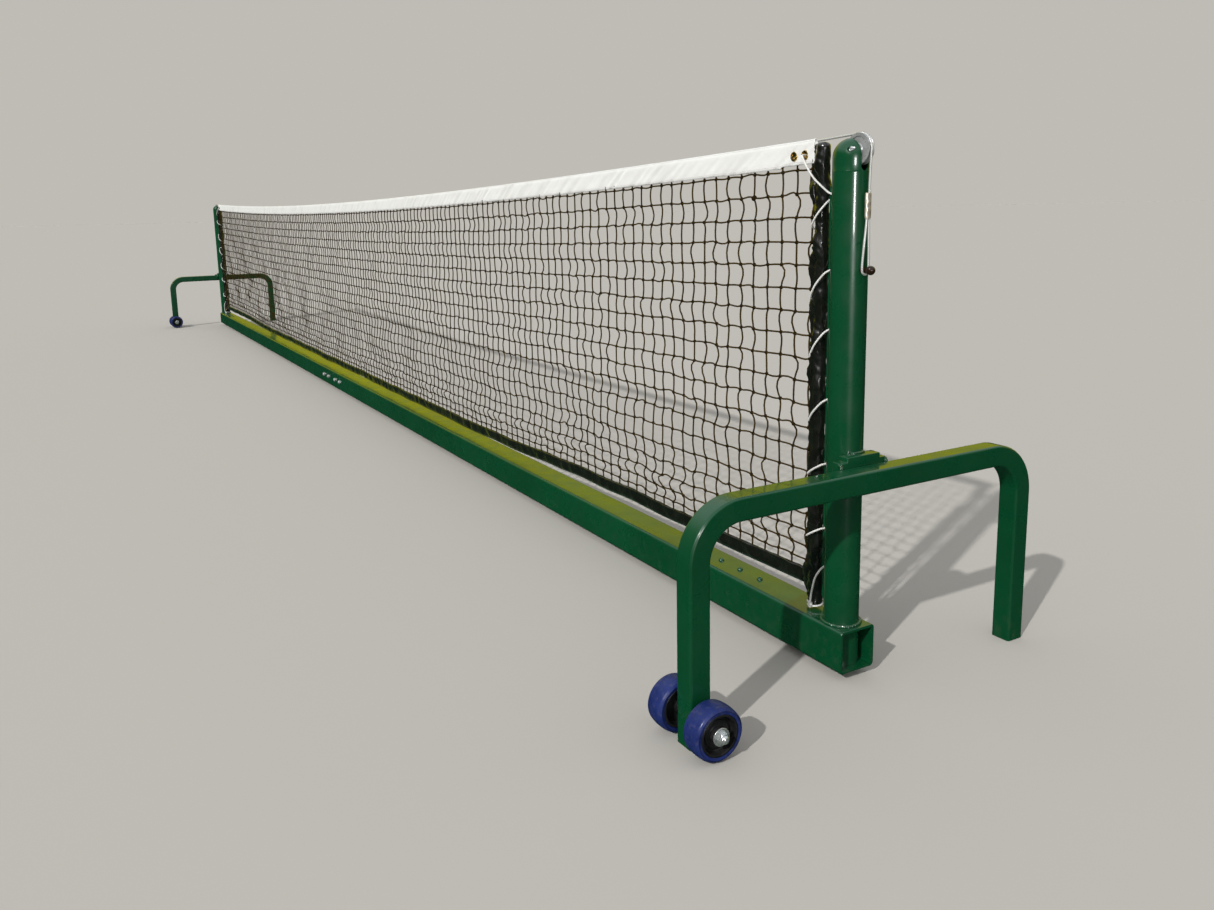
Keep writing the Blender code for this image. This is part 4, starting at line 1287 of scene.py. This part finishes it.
def build_lacing_cord(end, side):
    """White cord from the second eyelet, hitched to the rod and laced down the sleeve to the dowel's foot."""
    grommet_u = GROMMET_U[1]
    eye_z = band_top(HALF_SPAN + grommet_u) - GROMMET_DROP
    right_u, left_u, front = ROD_U + ROD_R + CORD_R + 0.0015, -0.0835, 0.0172
    route = [(grommet_u, 0.0105, eye_z - 0.001), (grommet_u, 0.0, eye_z), (grommet_u, -0.0085, eye_z - 0.001),
             (-0.1000, -0.0110, eye_z - 0.011), (-0.0850, -0.0150, eye_z - 0.025),
             (-0.0700, -0.0170, eye_z - 0.039), (-0.0580, -0.0145, eye_z - 0.050)]
    route += [(ROD_U - 0.003, -0.0070, 0.8265), (ROD_U + 0.0036, -0.0056, 0.8230), (right_u, 0.0, 0.8200),
              (ROD_U + 0.0040, 0.0048, 0.8180), (ROD_U - 0.0006, 0.0064, 0.8160),
              (ROD_U - 0.0052, 0.0046, 0.8140), (ROD_U - 0.0063, 0.0, 0.8115),
              (ROD_U - 0.0075, -0.0100, 0.8030)]
    centre_u, half_u = (right_u + left_u) / 2, (right_u - left_u) / 2
    starts = (0.811,) + LACING_RIGHT_Z
    for turn, (start_z, left_z, next_z) in enumerate(zip(starts, LACING_LEFT_Z, LACING_RIGHT_Z)):
        for i in range(2 if turn == 0 else 1, 9):
            angle = math.radians(45 * i)
            share = (1 - math.cos(angle)) / 2
            z = left_z + ((start_z if i < 4 else next_z) - left_z) * (1 - share)
            route.append((centre_u + half_u * math.cos(angle), -front * math.sin(angle), z))
    route += [(ROD_U + 0.0020, -0.0085, 0.173), (-0.0500, -0.0150, 0.155), (-0.0560, -0.0165, 0.130),
              (-0.0595, -0.0165, 0.1095)]
    wrap = 0.0129
    for i in range(11):
        angle = math.radians(-70 - 45 * i)
        route.append((SLEEVE_U + wrap * math.cos(angle), wrap * math.sin(angle), 0.1045 - 0.0082 * i / 10))
    skin = Skin()
    skin.tube(smooth_path([at(side, *point) for point in route], 0.0022), CORD_R, 12, lobes=8, lay=0.012,
              depth=0.10)
    for centre, size in ((at(side, grommet_u, 0.0092, eye_z - 0.003), 0.0022),
                         (at(side, SLEEVE_U + 0.002, -wrap - 0.0008, 0.1000), 0.0024)):
        knot = []
        for t in turns(48, True):
            knot.append(centre + size * Vector((math.sin(t) + 2 * math.sin(2 * t), -0.7 * math.sin(3 * t),
                                                math.cos(t) - 2 * math.cos(2 * t))) * 0.62)
        skin.tube(knot, CORD_R * 0.9, 10)
    skin.piece(f"white_lacing_{end}", "white_cord", nodes=[f"lacing_cord_{end}"], sharp=80)


# ---------------------------------------------------------------------------
# Floor, lights and camera
# ---------------------------------------------------------------------------

BACKDROP = (0.521, 0.503, 0.462)
SUN_STRENGTH = 2.5
SKY_STRENGTH = 0.60
SUN_COLOUR = (1.0, 0.985, 0.95)
SUN_DIRECTION = Vector((-0.38, 0.80, -0.62)).normalized()
SUN_ON_FLOOR = SUN_STRENGTH * -SUN_DIRECTION.z / math.pi
FLOOR_COLOUR = tuple(seen / (SKY_STRENGTH + SUN_ON_FLOOR * tint) for seen, tint in zip(BACKDROP, SUN_COLOUR))

# What the gloss reflects.
DARK_GROUND = (0.010, 0.036, 0.020)
SUNLIT_FIELD = (0.56, 0.52, 0.0)
PALE_GROUND = (0.26, 0.29, 0.28)       # in the direction of the strip light
BRIGHT_SKY = (0.70, 0.76, 0.80)
STRIP_AZIMUTH = math.radians(-21)
STRIP_WAY = Vector((math.cos(STRIP_AZIMUTH), math.sin(STRIP_AZIMUTH), 0.0))


def build_stage():
    """Plain pale floor."""
    bm = bmesh.new()
    bmesh.ops.create_grid(bm, x_segments=1, y_segments=1, size=400.0)
    mesh = bpy.data.meshes.new("floor")
    bm.to_mesh(mesh)
    bm.free()
    floor = bpy.data.objects.new("floor", mesh)
    look = Look("pale_floor", FLOOR_COLOUR, 0.9, Specular_IOR_Level=0.0)
    mesh.materials.append(look.material)
    floor.visible_glossy = False
    bpy.context.collection.objects.link(floor)


def build_world():
    """Even light all round; reflections see dark ground, a sunlit field behind the net and a bright sky."""
    world = bpy.data.worlds.new("studio")
    bpy.context.scene.world = world
    world.use_nodes = True
    nodes = Nodes(world.node_tree)
    rays = nodes.add("ShaderNodeLightPath")
    way = nodes.add("ShaderNodeTexCoord").outputs["Generated"]
    part = nodes.split(way)
    behind = nodes.ramp(nodes.combine(part["Y"], part["X"], "SUBTRACT"), 0.3, 0.8)
    toward = nodes.add("ShaderNodeVectorMath", operation="DOT_PRODUCT")
    nodes.link(way, toward.inputs[0])
    toward.inputs[1].default_value = STRIP_WAY
    field = nodes.mix(behind, DARK_GROUND, SUNLIT_FIELD)
    ground = nodes.mix(nodes.ramp(toward.outputs["Value"], 0.93, 0.985), DARK_GROUND, PALE_GROUND)
    low = nodes.mix(nodes.ramp(part["Z"], 0.02, 0.14), ground, field)
    seen = nodes.mix(nodes.ramp(part["Z"], 0.36, 0.62), low, BRIGHT_SKY)
    even = nodes.mix(rays.outputs["Is Glossy Ray"], (SKY_STRENGTH, SKY_STRENGTH, SKY_STRENGTH), seen)
    shown = nodes.mix(rays.outputs["Is Camera Ray"], even, BACKDROP)
    nodes.link(shown, nodes.tree.nodes["Background"].inputs["Color"])


def build_lights():
    """One sun, and one strip that only reflections see."""
    sun_data = bpy.data.lights.new("key", "SUN")
    sun_data.energy = SUN_STRENGTH
    sun_data.angle = math.radians(1.2)
    sun_data.color = SUN_COLOUR
    sun = bpy.data.objects.new("key", sun_data)
    sun.rotation_euler = SUN_DIRECTION.to_track_quat("-Z", "Y").to_euler()
    bpy.context.collection.objects.link(sun)

    panel_data = bpy.data.lights.new("strip", "AREA")
    panel_data.shape = "RECTANGLE"
    panel_data.size, panel_data.size_y = 0.42, 0.44
    panel_data.energy = 27
    panel = bpy.data.objects.new("strip", panel_data)
    target = at(1, 0, 0, 0.80)
    panel.location = target + 2.6 * STRIP_WAY + Vector((0, 0, 0.11))
    panel.rotation_euler = (target - panel.location).to_track_quat("-Z", "Y").to_euler()
    panel.visible_camera = False
    panel.visible_diffuse = False
    bpy.context.collection.objects.link(panel)


CAMERA_ANGLES = (151.07, -9.81, -1.25)         # yaw, pitch and roll, in degrees
CAMERA_PLACE = (1.1786, -1.1375, 0.8019)       # in end coordinates at end a


def build_camera():
    """Camera beyond end a, on the side of the wheeled legs, a little below the height of the net's top."""
    yaw, pitch, roll = (math.radians(angle) for angle in CAMERA_ANGLES)
    forward = Vector((math.cos(pitch) * math.cos(yaw), math.cos(pitch) * math.sin(yaw), math.sin(pitch)))
    level = forward.cross(Vector((0, 0, 1))).normalized()
    above = level.cross(forward)
    right = math.cos(roll) * level + math.sin(roll) * above
    up = -math.sin(roll) * level + math.cos(roll) * above
    data = bpy.data.cameras.new("camera")
    data.sensor_width = 36.0
    data.lens = 28.556
    data.shift_x, data.shift_y = 0.0128, -0.0632
    data.clip_end = 1000.0
    camera = bpy.data.objects.new("camera", data)
    camera.matrix_world = Matrix((right, up, -forward)).transposed().to_4x4()
    camera.location = at(1, *CAMERA_PLACE)
    bpy.context.collection.objects.link(camera)
    bpy.context.scene.camera = camera
    bpy.context.scene.view_settings.view_transform = "Standard"


build_camera()
build_world()
build_lights()
build_stage()
build_beam()
build_cable()
build_netting()
build_headband()
build_bottom_tape()
for end, side in ENDS:
    build_post(end, side)
    build_leg_frame(end, side)
    build_saddle(end, side)
    build_lacing_rod(end, side)
    build_wheels(end, side)
    build_sheave(end, side)
    build_fittings(end, side)
    build_dowel(end, side)
    build_side_sleeve(end, side)
    build_lacing_cord(end, side)
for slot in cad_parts["splice_sleeve"].material_slots:
    slot.material = MATERIALS["zinc"]
